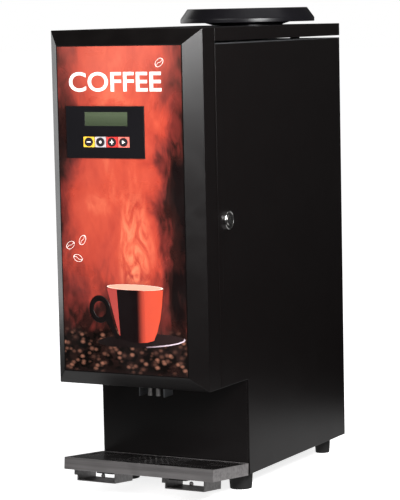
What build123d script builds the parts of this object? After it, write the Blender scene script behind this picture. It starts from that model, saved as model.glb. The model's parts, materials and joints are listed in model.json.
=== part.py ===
from build123d import *
from math import cos, radians, sin, tan
import os

# Tabletop hot drink vending machine, modelled in millimetres: X to the right, Y to the back,
# Z up. The origin is on the floor, midway between the door's face and the back panel.

os.makedirs("parts", exist_ok=True)

# ---------------------------------------------------------------- driving sizes: cabinet
WIDTH = 230.0
DEPTH = 446.0  # from the door's face to the back panel
COVER_TOP = 632.0  # top of the cover above the floor
FOOT_HEIGHT = 24.6
SHEET = 1.2  # folded steel sheet
FLANGE = 14.0  # folded edges of the side panels
FIT = 0.3  # gap between pieces that lie next to each other
RECESS_DEPTH = 130.8  # from the door's face to the wall behind the cups
COVER_BAND = 17.5  # height of the cover's sides
COVER_GAP = 3.0  # open line under the cover

# ---------------------------------------------------------------- driving sizes: door
DOOR_HEIGHT = 476.0
BEVEL = 20.0  # width of the sloping border, seen from the front
BEVEL_DEPTH = 20.8
SKIRT = 33.0  # straight sides of the door
SEAM = 0.6  # line between the door and the cabinet
RETURN = 11.0  # folded rear edge of the door
POSTER = 0.5
POSTER_MARGIN = 1.5
BEZEL_WIDTH = 118.5
BEZEL_HEIGHT = 68.6
BEZEL_THICKNESS = 2.0
BEZEL_DROP = 100.0  # from the cover's top to the bezel's top
BEZEL_MARGIN = 14.0  # from the door's flat edge to the bezel
LCD_WIDTH = 64.8
LCD_HEIGHT = 18.4
LCD_DROP = 7.6  # from the bezel's top to the window
KEY_COUNT = 4
KEY_PITCH = 17.6
KEY_WIDTH = 16.4
KEY_HEIGHT = 13.7
KEY_DROP = 47.1  # from the bezel's top to the keys' middle
KEY_GAP = 0.25
KEY_TRAVEL = 1.0
KEY_PROUD = 0.8

# ---------------------------------------------------------------- driving sizes: lock and hinges
LOCK_SETBACK = 25.8  # from the cabinet's front edge to the lock
LOCK_DROP = 254.3  # from the cover's top to the lock
LOCK_HEAD = 12.8
LOCK_HEAD_PROUD = 3.2
LOCK_BARREL = 9.5
LOCK_LENGTH = 26.0
PLUG_RADIUS = 7.0
CAM_LENGTH = 25.0
CAM_HALF = 6.0
CAM_THICKNESS = 2.0
KEEPER = 1.6
HINGE_RADIUS = 4.0
HINGE_PIN = 2.0
HINGE_HEIGHT = 50.0
HINGE_LEAF = 24.0
HINGE_SHEET = 1.2
HINGE_INSET = 48.0  # from the door's ends to the hinges
RUNNING = 0.05  # radial clearance of a shaft in its hole
PAST = 1.0  # how far a cut passes the face it starts from

# ---------------------------------------------------------------- driving sizes: drip tray
TRAY_TILT = 6.0  # degrees, falling to the back
TRAY_FRONT_GAP = 25.3  # from the door's face back to the tray's front
TRAY_HEIGHT = 16.7
TRAY_REAR_TOP = 40.6
TRAY_SHEET = 1.0
GRILLE_RADIUS = 44.0
GRILLE_HOLE = 2.4
GRILLE_RINGS = 5
GRILLE_SETBACK = 52.5  # from the tray's front to the middle of the round grille
BRACKET_WIDTH = 60.0
BRACKET_HEIGHT = 15.0
BRACKET_LENGTH = 48.0
BRACKET_SETBACK = 8.0
BRACKET_INSET = 46.5  # from the cabinet's side to the middle of a channel
BRACKET_LIP = 5.0
ARM_WIDTH = 26.0
ARM_OFFSET = 12.5  # from the middle of a channel to the middle of its arm
ARM_THICKNESS = 2.5
ARM_REACH = 52.0  # length screwed to the underside of the cabinet

# ---------------------------------------------------------------- driving sizes: inside
CHUTE_SETBACK = 25.6  # from the cabinet's front edge to the powder outlets
CHUTE_RADIUS = 17.0
CANISTER_DEPTH = 118.0
CANISTER_WALL = 2.0
AUGER_RADIUS = 13.0
AUGER_PITCH = 14.0
SHAFT = 3.0
MIXER_RISE = 146.0  # from the overhang's underside to the whipper shafts
SHELF_RISE = 241.0  # from the overhang's underside to the canister shelf
BOWL_RADIUS = 34.0
BOWL_HEIGHT = 48.0
BOWL_WALL = 2.0
CHAMBER_RADIUS = 20.0
MIXER_SETBACK = 88.6  # from the cabinet's front edge to the mixer plate
BOWL_SETOUT = 42.0  # from the mixer plate to the bowls' middle
MOTOR_LENGTH = 44.0
TANK_WALL = 1.5
TANK_HEIGHT = 250.0
JACKET = 8.0
THROAT = 22.0
LID_X = 15.0
LID_RADIUS = 96.4
LID_TOP_RADIUS = 86.0
LID_RISE = 24.5  # from the cover's top to the lid's top
LID_RIM = 5.5
NECK_RADIUS = 50.6
NECK_RISE = 4.5
CAP_RADIUS = 79.5
NOZZLE_PITCH = 12.5
NOZZLE_OFFSET = -2.75
NOZZLE_RADIUS = 3.2
NOZZLE_DROP = 21.5  # below the overhang
HOSE_RADIUS = 5.0
HOSE_BORE = 3.2
FAN_SIZE = 80.0
FAN_DEPTH = 25.0

# ---------------------------------------------------------------- places worked out from them
FRONT = -DEPTH / 2
BACK = DEPTH / 2
SIDE = WIDTH / 2
INNER = SIDE - SHEET
BETWEEN = SIDE - FLANGE - FIT  # half width free between the side panels' flanges
DOOR_FACE = FRONT + POSTER
DOOR_RIM = FRONT + BEVEL_DEPTH
DOOR_BACK = DOOR_RIM + SKIRT
CABINET_FRONT = DOOR_BACK + SEAM
HEAD_BOTTOM = COVER_TOP - DOOR_HEIGHT
DOOR_MIDDLE = COVER_TOP - DOOR_HEIGHT / 2
RECESS = FRONT + RECESS_DEPTH
BODY_TOP = COVER_TOP - COVER_BAND - COVER_GAP

LOCK_Y = CABINET_FRONT + LOCK_SETBACK
LOCK_Z = COVER_TOP - LOCK_DROP
HINGE_X = -SIDE - HINGE_RADIUS - FIT
HINGE_Y = DOOR_BACK + SEAM / 2

CHUTE_Y = CABINET_FRONT + CHUTE_SETBACK
CANISTER_FRONT = CHUTE_Y + CHUTE_RADIUS - 1.0
CANISTER_BACK = CANISTER_FRONT + CANISTER_DEPTH
BULKHEAD_Y = CANISTER_BACK + 9.0
MIXER_Y = CABINET_FRONT + MIXER_SETBACK
SHELF_Z = HEAD_BOTTOM + SHELF_RISE
SHELF_TOP = SHELF_Z + SHEET
CANISTER_X = (SIDE - FLANGE - 2.0) / 2
CANISTER_WIDTH = 2 * CANISTER_X - 4.0
TROUGH = AUGER_RADIUS + 2.0 + CANISTER_WALL
AUGER_Z = SHELF_TOP + TROUGH + 0.5
CANISTER_TOP = BODY_TOP - 14.0
BOWL_Y = MIXER_Y - BOWL_SETOUT
CHAMBER_Z = HEAD_BOTTOM + MIXER_RISE
BOWL_BOTTOM = CHAMBER_Z + CHAMBER_RADIUS
BOWL_TOP = BOWL_BOTTOM + BOWL_HEIGHT
MIRRORED = ((-1, "left"), (1, "right"))


# ---------------------------------------------------------------- shape helpers
def block(x, y, z, mode=Mode.ADD):
    """A box between (low, high) limits along X, Y and Z."""
    limits = (x, y, z)
    middle = tuple((low + high) / 2 for low, high in limits)
    with Locations(middle):
        Box(*(high - low for low, high in limits), mode=mode)


def rod_x(x, y, z, radius, mode=Mode.ADD):
    """A round bar along X between the (low, high) limits."""
    with Locations(Location(((x[0] + x[1]) / 2, y, z), (0, 90, 0))):
        Cylinder(radius, x[1] - x[0], mode=mode)


def rod_y(x, y, z, radius, mode=Mode.ADD):
    """A round bar along Y between the (low, high) limits."""
    with Locations(Location((x, (y[0] + y[1]) / 2, z), (90, 0, 0))):
        Cylinder(radius, y[1] - y[0], mode=mode)


def rod_z(x, y, z, radius, mode=Mode.ADD):
    """A round bar along Z between the (low, high) limits."""
    with Locations((x, y, (z[0] + z[1]) / 2)):
        Cylinder(radius, z[1] - z[0], mode=mode)


def facing_front(y):
    """The upright plane at y whose normal points to the front."""
    return Plane.XZ.offset(-y)


def around(limits, gap):
    """The (low, high) limits moved apart by a gap at each end."""
    return (limits[0] - gap, limits[1] + gap)


# ---------------------------------------------------------------- side panels
SIDE_TOP = BODY_TOP - SHEET
SIDE_PROFILE = (
    (CABINET_FRONT, HEAD_BOTTOM),
    (CABINET_FRONT, SIDE_TOP),
    (BACK - SHEET, SIDE_TOP),
    (BACK - SHEET, FOOT_HEIGHT),
    (RECESS + SHEET, FOOT_HEIGHT),
    (RECESS + SHEET, HEAD_BOTTOM),
)

for side, name in MIRRORED:
    with BuildPart() as side_panel:
        with BuildSketch(Plane.YZ.offset(side * SIDE)):
            Polygon(*SIDE_PROFILE, align=None)
        extrude(amount=-side * FLANGE)
        with BuildSketch(Plane.YZ.offset(side * INNER)):
            Polygon(*SIDE_PROFILE, align=None)
            offset(amount=-SHEET, kind=Kind.INTERSECTION)
        extrude(amount=-side * FLANGE, mode=Mode.SUBTRACT)
        if side > 0:
            rod_x((INNER - PAST, SIDE + PAST), LOCK_Y, LOCK_Z, LOCK_BARREL + FIT, mode=Mode.SUBTRACT)
    side_panel.part.label = f"side_panel_{name}"
    export_step(side_panel.part, f"parts/side_panel_{name}.step")

# ---------------------------------------------------------------- base pan
BASE_WALL = 18.0
BASE_Y = (RECESS + 2 * SHEET, BACK - 2 * SHEET)
BASE_X = (-BETWEEN, BETWEEN)
BASE_Z = (FOOT_HEIGHT, FOOT_HEIGHT + BASE_WALL)

with BuildPart() as base_pan:
    block(BASE_X, BASE_Y, BASE_Z)
    block(
        around(BASE_X, -SHEET),
        around(BASE_Y, -SHEET),
        (FOOT_HEIGHT + SHEET, BASE_Z[1] + PAST),
        mode=Mode.SUBTRACT,
    )
base_pan.part.label = "base_pan"
export_step(base_pan.part, "parts/base_pan.step")

# ---------------------------------------------------------------- feet
FRONT_FOOT = 17.0
REAR_FOOT = 12.0
FOOT_TAPER = 1.8
FOOT_INSET = 26.0
FEET_X = SIDE - FOOT_INSET
FRONT_FOOT_Y = RECESS + 24.2
REAR_FOOT_Y = BACK - 25.0

with BuildPart() as rubber_feet:
    for foot_y, foot_radius in ((FRONT_FOOT_Y, FRONT_FOOT), (REAR_FOOT_Y, REAR_FOOT)):
        with Locations((-FEET_X, foot_y, FOOT_HEIGHT / 2), (FEET_X, foot_y, FOOT_HEIGHT / 2)):
            Cone(foot_radius - FOOT_TAPER, foot_radius, FOOT_HEIGHT)
rubber_feet.part.label = "rubber_feet"
export_step(rubber_feet.part, "parts/rubber_feet.step")

# ---------------------------------------------------------------- wall behind the cups
WALL_INSET = 2.5
WALL_X = (WALL_INSET - SIDE, SIDE - WALL_INSET)
WALL_RETURN = 12.0

with BuildPart() as lower_front_panel:
    block(WALL_X, (RECESS, RECESS + SHEET), (FOOT_HEIGHT, HEAD_BOTTOM - FIT))
    block(
        (-BETWEEN, BETWEEN),
        (RECESS, RECESS + WALL_RETURN),
        (HEAD_BOTTOM - FIT - SHEET, HEAD_BOTTOM - FIT),
    )
lower_front_panel.part.label = "lower_front_panel"
export_step(lower_front_panel.part, "parts/lower_front_panel.step")

# ---------------------------------------------------------------- floor of the overhanging head
NOZZLE_X = (NOZZLE_OFFSET - NOZZLE_PITCH / 2, NOZZLE_OFFSET + NOZZLE_PITCH / 2)
NOZZLE_Y = CHUTE_Y + 0.8
NOZZLE_TOP = HEAD_BOTTOM + 15.0
HEAD_Y = (CABINET_FRONT + SHEET + FIT, RECESS + SHEET)
HEAD_WALL = 12.0

with BuildPart() as head_floor_plate:
    block((-BETWEEN, BETWEEN), HEAD_Y, (HEAD_BOTTOM, HEAD_BOTTOM + HEAD_WALL))
    block(
        (SHEET - BETWEEN, BETWEEN - SHEET),
        around(HEAD_Y, -SHEET),
        (HEAD_BOTTOM + SHEET, HEAD_BOTTOM + HEAD_WALL + PAST),
        mode=Mode.SUBTRACT,
    )
    for nozzle_x in NOZZLE_X:
        rod_z(
            nozzle_x,
            NOZZLE_Y,
            (HEAD_BOTTOM - PAST, HEAD_BOTTOM + SHEET + PAST),
            NOZZLE_RADIUS + FIT,
            mode=Mode.SUBTRACT,
        )
head_floor_plate.part.label = "head_floor_plate"
export_step(head_floor_plate.part, "parts/head_floor_plate.step")

# ---------------------------------------------------------------- nozzle bracket and nozzles
GUARD_HALF = 19.5
GUARD_Y = (NOZZLE_Y - 12.0, NOZZLE_Y + 12.0)
GUARD_Z = (HEAD_BOTTOM - NOZZLE_DROP + 0.5, HEAD_BOTTOM)

with BuildPart() as nozzle_block:
    block((-GUARD_HALF, GUARD_HALF), GUARD_Y, GUARD_Z)
    block(
        (SHEET - GUARD_HALF, GUARD_HALF - SHEET),
        around(GUARD_Y, PAST),
        (GUARD_Z[0] - PAST, HEAD_BOTTOM - SHEET),
        mode=Mode.SUBTRACT,
    )
    for nozzle_x in NOZZLE_X:
        rod_z(nozzle_x, NOZZLE_Y, around(GUARD_Z, PAST), NOZZLE_RADIUS + FIT, mode=Mode.SUBTRACT)
nozzle_block.part.label = "nozzle_block"
export_step(nozzle_block.part, "parts/nozzle_block.step")

NOZZLE_Z = (HEAD_BOTTOM - NOZZLE_DROP, NOZZLE_TOP)
with BuildPart() as dispensing_nozzles:
    for nozzle_x in NOZZLE_X:
        rod_z(nozzle_x, NOZZLE_Y, NOZZLE_Z, NOZZLE_RADIUS)
        rod_z(nozzle_x, NOZZLE_Y, around(NOZZLE_Z, PAST), NOZZLE_RADIUS - 1.0, mode=Mode.SUBTRACT)
dispensing_nozzles.part.label = "dispensing_nozzles"
export_step(dispensing_nozzles.part, "parts/dispensing_nozzles.step")

# ---------------------------------------------------------------- inner plates
PLATE_FLANGE = 10.0
PLATE_X = (FIT - INNER, INNER - FIT)


def flanged_plate(y, z):
    """An upright plate across the cabinet, with flanges folded back along its sides."""
    block(PLATE_X, (y, y + PLATE_FLANGE), z)
    block(
        around(PLATE_X, -SHEET),
        (y + SHEET, y + PLATE_FLANGE + PAST),
        around(z, PAST),
        mode=Mode.SUBTRACT,
    )


SPIGOT_Z = BOWL_TOP - 14.0
MIXER_Z = (FOOT_HEIGHT + BASE_WALL + 1.0, SHELF_Z)

with BuildPart() as mixer_plate:
    flanged_plate(MIXER_Y, MIXER_Z)
    for side, _ in MIRRORED:
        plate_y = (MIXER_Y - PAST, MIXER_Y + SHEET + PAST)
        rod_y(side * CANISTER_X, plate_y, CHAMBER_Z, SHAFT + 1, mode=Mode.SUBTRACT)
        rod_y(side * CANISTER_X, plate_y, SPIGOT_Z, HOSE_RADIUS + 1, mode=Mode.SUBTRACT)
mixer_plate.part.label = "mixer_plate"
export_step(mixer_plate.part, "parts/mixer_plate.step")

with BuildPart() as rear_bulkhead:
    flanged_plate(BULKHEAD_Y, (SHELF_TOP, SIDE_TOP - SHEET - FIT))
    for side, _ in MIRRORED:
        plate_y = (BULKHEAD_Y - PAST, BULKHEAD_Y + SHEET + PAST)
        rod_y(side * CANISTER_X, plate_y, AUGER_Z, SHAFT + 1, mode=Mode.SUBTRACT)
rear_bulkhead.part.label = "rear_bulkhead"
export_step(rear_bulkhead.part, "parts/rear_bulkhead.step")

SHELF_LIP = 12.0
SHELF_Y = (CANISTER_FRONT + 2.0, BULKHEAD_Y + PLATE_FLANGE)
with BuildPart() as canister_shelf:
    block(PLATE_X, SHELF_Y, (SHELF_Z, SHELF_TOP))
    block(PLATE_X, (SHELF_Y[0], SHELF_Y[0] + SHEET), (SHELF_Z - SHELF_LIP, SHELF_Z))
canister_shelf.part.label = "canister_shelf"
export_step(canister_shelf.part, "parts/canister_shelf.step")

# ---------------------------------------------------------------- water tank, jacket and heater
BOARD_SPACE = 45.0  # room left for the control board beside the tank
TANK_X = (BOARD_SPACE - SIDE, SIDE - 15.0)
TANK_Y = (BULKHEAD_Y + SHEET + MOTOR_LENGTH + JACKET + 1.0, BACK - SHEET - FAN_DEPTH - 3.0)
TANK_TOP = BODY_TOP - 91.5
TANK_Z = (TANK_TOP - TANK_HEIGHT, TANK_TOP)
LID_Y = (TANK_Y[0] + TANK_Y[1]) / 2
COLLAR = THROAT + 4.0
COLLAR_TOP = TANK_TOP + 52.0
HEATER_X = (TANK_X[0] + TANK_X[1]) / 2
ROD_GAP = 12.0
ROD_RADIUS = 4.0
VALVE_Y = BULKHEAD_Y - 10.0
VALVE_Z = TANK_Z[0] + 12.0

with BuildPart() as water_tank:
    block(TANK_X, TANK_Y, TANK_Z)
    rod_z(LID_X, LID_Y, (TANK_TOP, COLLAR_TOP), COLLAR + TANK_WALL)
    block(
        around(TANK_X, -TANK_WALL),
        around(TANK_Y, -TANK_WALL),
        around(TANK_Z, -TANK_WALL),
        mode=Mode.SUBTRACT,
    )
    rod_z(LID_X, LID_Y, (TANK_TOP - 5, COLLAR_TOP + PAST), COLLAR, mode=Mode.SUBTRACT)
    for rod_side in (-1, 1):
        rod_z(
            HEATER_X + rod_side * ROD_GAP,
            LID_Y,
            (TANK_Z[0] - PAST, TANK_Z[0] + TANK_WALL + PAST),
            ROD_RADIUS + FIT,
            mode=Mode.SUBTRACT,
        )
    for side, _ in MIRRORED:
        outlet_y = (TANK_Y[0] - PAST, TANK_Y[0] + TANK_WALL + PAST)
        rod_y(side * CANISTER_X, outlet_y, VALVE_Z, HOSE_BORE, mode=Mode.SUBTRACT)
water_tank.part.label = "water_tank"
export_step(water_tank.part, "parts/water_tank.step")

JACKET_Z = (TANK_Z[0], TANK_TOP)
with BuildPart() as tank_jacket:
    block(around(TANK_X, JACKET), around(TANK_Y, JACKET), JACKET_Z)
    block(around(TANK_X, 0.1), around(TANK_Y, 0.1), around(JACKET_Z, PAST), mode=Mode.SUBTRACT)
    for side, _ in MIRRORED:
        jacket_y = (TANK_Y[0] - JACKET - PAST, TANK_Y[0])
        rod_y(side * CANISTER_X, jacket_y, VALVE_Z, HOSE_RADIUS + FIT, mode=Mode.SUBTRACT)
tank_jacket.part.label = "tank_jacket"
export_step(tank_jacket.part, "parts/tank_jacket.step")

ROD_TOP = TANK_Z[0] + 150.0
HEATER_FLANGE = 24.0
with BuildPart() as tank_heater:
    rod_z(HEATER_X, LID_Y, (TANK_Z[0] - 8, TANK_Z[0]), HEATER_FLANGE)
    for rod_side in (-1, 1):
        rod_z(HEATER_X + rod_side * ROD_GAP, LID_Y, (TANK_Z[0] - 16, ROD_TOP), ROD_RADIUS)
    rod_x((HEATER_X - ROD_GAP, HEATER_X + ROD_GAP), LID_Y, ROD_TOP, ROD_RADIUS)
    with Locations((HEATER_X - ROD_GAP, LID_Y, ROD_TOP), (HEATER_X + ROD_GAP, LID_Y, ROD_TOP)):
        Sphere(ROD_RADIUS)
tank_heater.part.label = "tank_heater"
export_step(tank_heater.part, "parts/tank_heater.step")

# ---------------------------------------------------------------- water valves and hoses
VALVE_HALF = 13.0
VALVE_TOP = VALVE_Z + 19.0
COIL_RADIUS = 11.0
COIL_DROP = 40.0

with BuildPart() as water_valves:
    for side, _ in MIRRORED:
        valve_x = side * CANISTER_X
        block(
            around((valve_x, valve_x), VALVE_HALF),
            around((VALVE_Y, VALVE_Y), VALVE_HALF),
            (VALVE_Z - VALVE_HALF, VALVE_Z + VALVE_HALF),
        )
        rod_z(valve_x, VALVE_Y, (VALVE_Z, VALVE_TOP), HOSE_RADIUS)
        rod_z(valve_x, VALVE_Y, (VALVE_Z - COIL_DROP, VALVE_Z), COIL_RADIUS)
        rod_y(valve_x, (VALVE_Y, TANK_Y[0]), VALVE_Z, HOSE_RADIUS)
water_valves.part.label = "water_valves"
export_step(water_valves.part, "parts/water_valves.step")

SPIGOT_BACK = MIXER_Y + 9.0
SPOUT_Y = BOWL_Y - 14.0
SPOUT_BOTTOM = CHAMBER_Z - CHAMBER_RADIUS - 14.0
BEND = 20.0


def hose_on(path_points, radii):
    """A length of silicone hose along straight runs joined by arcs."""
    with BuildPart() as hose:
        with BuildLine():
            path = FilletPolyline(*path_points, radius=radii)
        with BuildSketch(Plane(origin=path @ 0, z_dir=path % 0)):
            Circle(HOSE_RADIUS)
            Circle(HOSE_BORE, mode=Mode.SUBTRACT)
        sweep()
    return hose.part


hoses = []
for side, _ in MIRRORED:
    hose_x = side * CANISTER_X
    water_path = (
        (hose_x, SPIGOT_BACK, SPIGOT_Z),
        (hose_x, VALVE_Y, SPIGOT_Z),
        (hose_x, VALVE_Y, VALVE_TOP),
    )
    nozzle_x = NOZZLE_X[0] if side < 0 else NOZZLE_X[1]
    drink_path = (
        (hose_x, SPOUT_Y, SPOUT_BOTTOM),
        (hose_x, SPOUT_Y, SPOUT_BOTTOM - 34.0),
        (nozzle_x, NOZZLE_Y, NOZZLE_TOP + 30.0),
        (nozzle_x, NOZZLE_Y, NOZZLE_TOP),
    )
    hoses.append(hose_on(water_path, BEND))
    hoses.append(hose_on(drink_path, BEND))

with BuildPart() as silicone_hoses:
    for hose in hoses:
        add(hose)
silicone_hoses.part.label = "silicone_hoses"
export_step(silicone_hoses.part, "parts/silicone_hoses.step")

# ---------------------------------------------------------------- powder canisters
SHOULDER = AUGER_Z + 34.0
HALF_CANISTER = CANISTER_WIDTH / 2
LID_SKIRT = 8.0
LID_WALL = 1.5
CHUTE_FRONT = CHUTE_Y - CHUTE_RADIUS - 1.0
CHUTE_BOTTOM = BOWL_TOP + 12.0


def canister_section(middle, wall, top):
    """The canister's cross-section: straight sides that narrow to a round trough."""
    half = HALF_CANISTER - wall
    trough = TROUGH - wall
    Polygon(
        (middle - half, top),
        (middle + half, top),
        (middle + half, SHOULDER),
        (middle + trough, AUGER_Z),
        (middle - trough, AUGER_Z),
        (middle - half, SHOULDER),
        align=None,
    )
    with Locations((middle, AUGER_Z)):
        Circle(trough)


for side, name in MIRRORED:
    canister_x = side * CANISTER_X
    with BuildPart() as canister:
        with BuildSketch(facing_front(CANISTER_FRONT)):
            canister_section(canister_x, 0, CANISTER_TOP)
        extrude(amount=-CANISTER_DEPTH)
        with BuildSketch(facing_front(CANISTER_FRONT + CANISTER_WALL)):
            canister_section(canister_x, CANISTER_WALL, CANISTER_TOP + PAST)
        extrude(amount=2 * CANISTER_WALL - CANISTER_DEPTH, mode=Mode.SUBTRACT)
        rod_y(
            canister_x,
            (CANISTER_FRONT - PAST, CANISTER_FRONT + CANISTER_WALL + PAST),
            AUGER_Z,
            CHUTE_RADIUS - CANISTER_WALL,
            mode=Mode.SUBTRACT,
        )
        rod_y(
            canister_x,
            (CANISTER_BACK - CANISTER_WALL - PAST, CANISTER_BACK + PAST),
            AUGER_Z,
            SHAFT + RUNNING,
            mode=Mode.SUBTRACT,
        )
    canister.part.label = f"canister_{name}"
    export_step(canister.part, f"parts/canister_{name}.step")

with BuildPart() as canister_lids:
    for side, _ in MIRRORED:
        lid_x = around((side * CANISTER_X, side * CANISTER_X), HALF_CANISTER + 0.2)
        lid_y = around((CANISTER_FRONT, CANISTER_BACK), 0.2)
        block(
            around(lid_x, LID_WALL),
            around(lid_y, LID_WALL),
            (CANISTER_TOP - LID_SKIRT, CANISTER_TOP + LID_WALL),
        )
        block(lid_x, lid_y, (CANISTER_TOP - LID_SKIRT - PAST, CANISTER_TOP), mode=Mode.SUBTRACT)
canister_lids.part.label = "canister_lids"
export_step(canister_lids.part, "parts/canister_lids.step")

with BuildPart() as powder_chutes:
    for side, _ in MIRRORED:
        chute_x = side * CANISTER_X
        rod_y(chute_x, (CHUTE_FRONT, CANISTER_FRONT), AUGER_Z, CHUTE_RADIUS)
        rod_z(chute_x, CHUTE_Y, (CHUTE_BOTTOM, AUGER_Z), CHUTE_RADIUS - 4)
        rod_y(
            chute_x,
            (CHUTE_FRONT + CANISTER_WALL, CANISTER_FRONT + PAST),
            AUGER_Z,
            CHUTE_RADIUS - CANISTER_WALL,
            mode=Mode.SUBTRACT,
        )
        rod_z(
            chute_x,
            CHUTE_Y,
            (CHUTE_BOTTOM - PAST, AUGER_Z),
            CHUTE_RADIUS - 4 - CANISTER_WALL,
            mode=Mode.SUBTRACT,
        )
powder_chutes.part.label = "powder_chutes"
export_step(powder_chutes.part, "parts/powder_chutes.step")

# ---------------------------------------------------------------- augers and their motors
SOCKET = 9.0
AUGER_FRONT = CHUTE_FRONT + CANISTER_WALL + 3.0
FLIGHT_BACK = CANISTER_BACK - CANISTER_WALL - 4.0
FLIGHT_THICKNESS = 1.6
FLIGHT_LEAN = 14.0  # degrees

for side, name in MIRRORED:
    auger_x = side * CANISTER_X
    with BuildPart() as auger:
        rod_y(auger_x, (AUGER_FRONT, BULKHEAD_Y + SHEET + SOCKET - 1), AUGER_Z, SHAFT)
        flight_y = AUGER_FRONT + AUGER_PITCH / 2
        while flight_y < FLIGHT_BACK:
            with Locations(Location((auger_x, flight_y, AUGER_Z), (90 + FLIGHT_LEAN, 0, 0))):
                Cylinder(AUGER_RADIUS, FLIGHT_THICKNESS)
            flight_y += AUGER_PITCH
    auger.part.label = f"auger_{name}"
    export_step(auger.part, f"parts/auger_{name}.step")

MOTOR_HALF = 18.0
GEARBOX_Z = (AUGER_Z - 16.0, AUGER_Z + 30.0)
CAN_RISE = 8.0  # the motor's own axis above the shaft that it turns
with BuildPart() as auger_motors:
    for side, _ in MIRRORED:
        motor_x = side * CANISTER_X
        motor_y = (BULKHEAD_Y + SHEET, BULKHEAD_Y + SHEET + MOTOR_LENGTH)
        block(
            around((motor_x, motor_x), MOTOR_HALF),
            (motor_y[0], motor_y[0] + MOTOR_LENGTH / 2),
            GEARBOX_Z,
        )
        rod_y(motor_x, motor_y, AUGER_Z + CAN_RISE, MOTOR_HALF - 4)
        socket_y = (motor_y[0] - 1, motor_y[0] + SOCKET)
        rod_y(motor_x, socket_y, AUGER_Z, SHAFT + RUNNING, mode=Mode.SUBTRACT)
auger_motors.part.label = "auger_motors"
export_step(auger_motors.part, "parts/auger_motors.step")

# ---------------------------------------------------------------- mixing bowls, whippers, motors
SPOUT_RADIUS = 6.0
BOWL_THROAT = 13.0
THROAT_BORE = BOWL_THROAT - BOWL_WALL - 0.1
CHAMBER_FRONT = BOWL_Y - 24.0

for side, name in MIRRORED:
    bowl_x = side * CANISTER_X
    with BuildPart() as mixing_bowl:
        with Locations((bowl_x, BOWL_Y, BOWL_BOTTOM + BOWL_HEIGHT / 2)):
            Cone(BOWL_THROAT, BOWL_RADIUS, BOWL_HEIGHT)
        rod_z(bowl_x, BOWL_Y, (CHAMBER_Z, BOWL_BOTTOM + PAST), BOWL_THROAT)
        rod_y(bowl_x, (CHAMBER_FRONT, MIXER_Y), CHAMBER_Z, CHAMBER_RADIUS)
        rod_z(bowl_x, SPOUT_Y, (SPOUT_BOTTOM, CHAMBER_Z), SPOUT_RADIUS)
        rod_y(bowl_x, (BOWL_Y, SPIGOT_BACK), SPIGOT_Z, HOSE_RADIUS)
        with Locations((bowl_x, BOWL_Y, BOWL_BOTTOM + BOWL_HEIGHT / 2)):
            Cone(
                BOWL_THROAT - BOWL_WALL,
                BOWL_RADIUS - BOWL_WALL,
                BOWL_HEIGHT,
                mode=Mode.SUBTRACT,
            )
        rod_z(bowl_x, BOWL_Y, (CHAMBER_Z, BOWL_BOTTOM + PAST), THROAT_BORE, mode=Mode.SUBTRACT)
        rod_y(
            bowl_x,
            (CHAMBER_FRONT + BOWL_WALL, MIXER_Y + PAST),
            CHAMBER_Z,
            CHAMBER_RADIUS - BOWL_WALL,
            mode=Mode.SUBTRACT,
        )
        spout_z = (SPOUT_BOTTOM - PAST, CHAMBER_Z)
        rod_z(bowl_x, SPOUT_Y, spout_z, SPOUT_RADIUS - BOWL_WALL, mode=Mode.SUBTRACT)
        rod_y(bowl_x, (BOWL_Y, SPIGOT_BACK + PAST), SPIGOT_Z, HOSE_BORE, mode=Mode.SUBTRACT)
    mixing_bowl.part.label = f"mixing_bowl_{name}"
    export_step(mixing_bowl.part, f"parts/mixing_bowl_{name}.step")

WHIPPER_RADIUS = 15.0
WHIPPER_FRONT = BOWL_Y - 14.0
for side, name in MIRRORED:
    whipper_x = side * CANISTER_X
    with BuildPart() as whipper:
        rod_y(whipper_x, (WHIPPER_FRONT, MIXER_Y + SHEET + SOCKET - 1), CHAMBER_Z, SHAFT)
        rod_y(whipper_x, (WHIPPER_FRONT + 8, WHIPPER_FRONT + 11), CHAMBER_Z, WHIPPER_RADIUS)
        for reach_x, reach_z in ((WHIPPER_RADIUS - 1, 1.2), (1.2, WHIPPER_RADIUS - 1)):
            block(
                (whipper_x - reach_x, whipper_x + reach_x),
                (WHIPPER_FRONT + 1, WHIPPER_FRONT + 9),
                (CHAMBER_Z - reach_z, CHAMBER_Z + reach_z),
            )
    whipper.part.label = f"whipper_{name}"
    export_step(whipper.part, f"parts/whipper_{name}.step")

with BuildPart() as whipper_motors:
    for side, _ in MIRRORED:
        motor_x = side * CANISTER_X
        motor_y = (MIXER_Y + SHEET, MIXER_Y + SHEET + MOTOR_LENGTH)
        rod_y(motor_x, motor_y, CHAMBER_Z, MOTOR_HALF)
        rod_y(motor_x, (motor_y[1], motor_y[1] + 4), CHAMBER_Z, 6.0)
        socket_y = (motor_y[0] - 1, motor_y[0] + SOCKET)
        rod_y(motor_x, socket_y, CHAMBER_Z, SHAFT + RUNNING, mode=Mode.SUBTRACT)
whipper_motors.part.label = "whipper_motors"
export_step(whipper_motors.part, "parts/whipper_motors.step")

# ---------------------------------------------------------------- control board on the left side
BOARD_THICKNESS = 1.6
BOARD_X = -INNER + 3.0
BOARD_Y = (TANK_Y[0] + 6.0, TANK_Y[1] - 8.0)
BOARD_Z = (TANK_Z[0] + 30.0, TANK_Z[0] + 190.0)
BOARD_LENGTH = BOARD_Y[1] - BOARD_Y[0]

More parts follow.
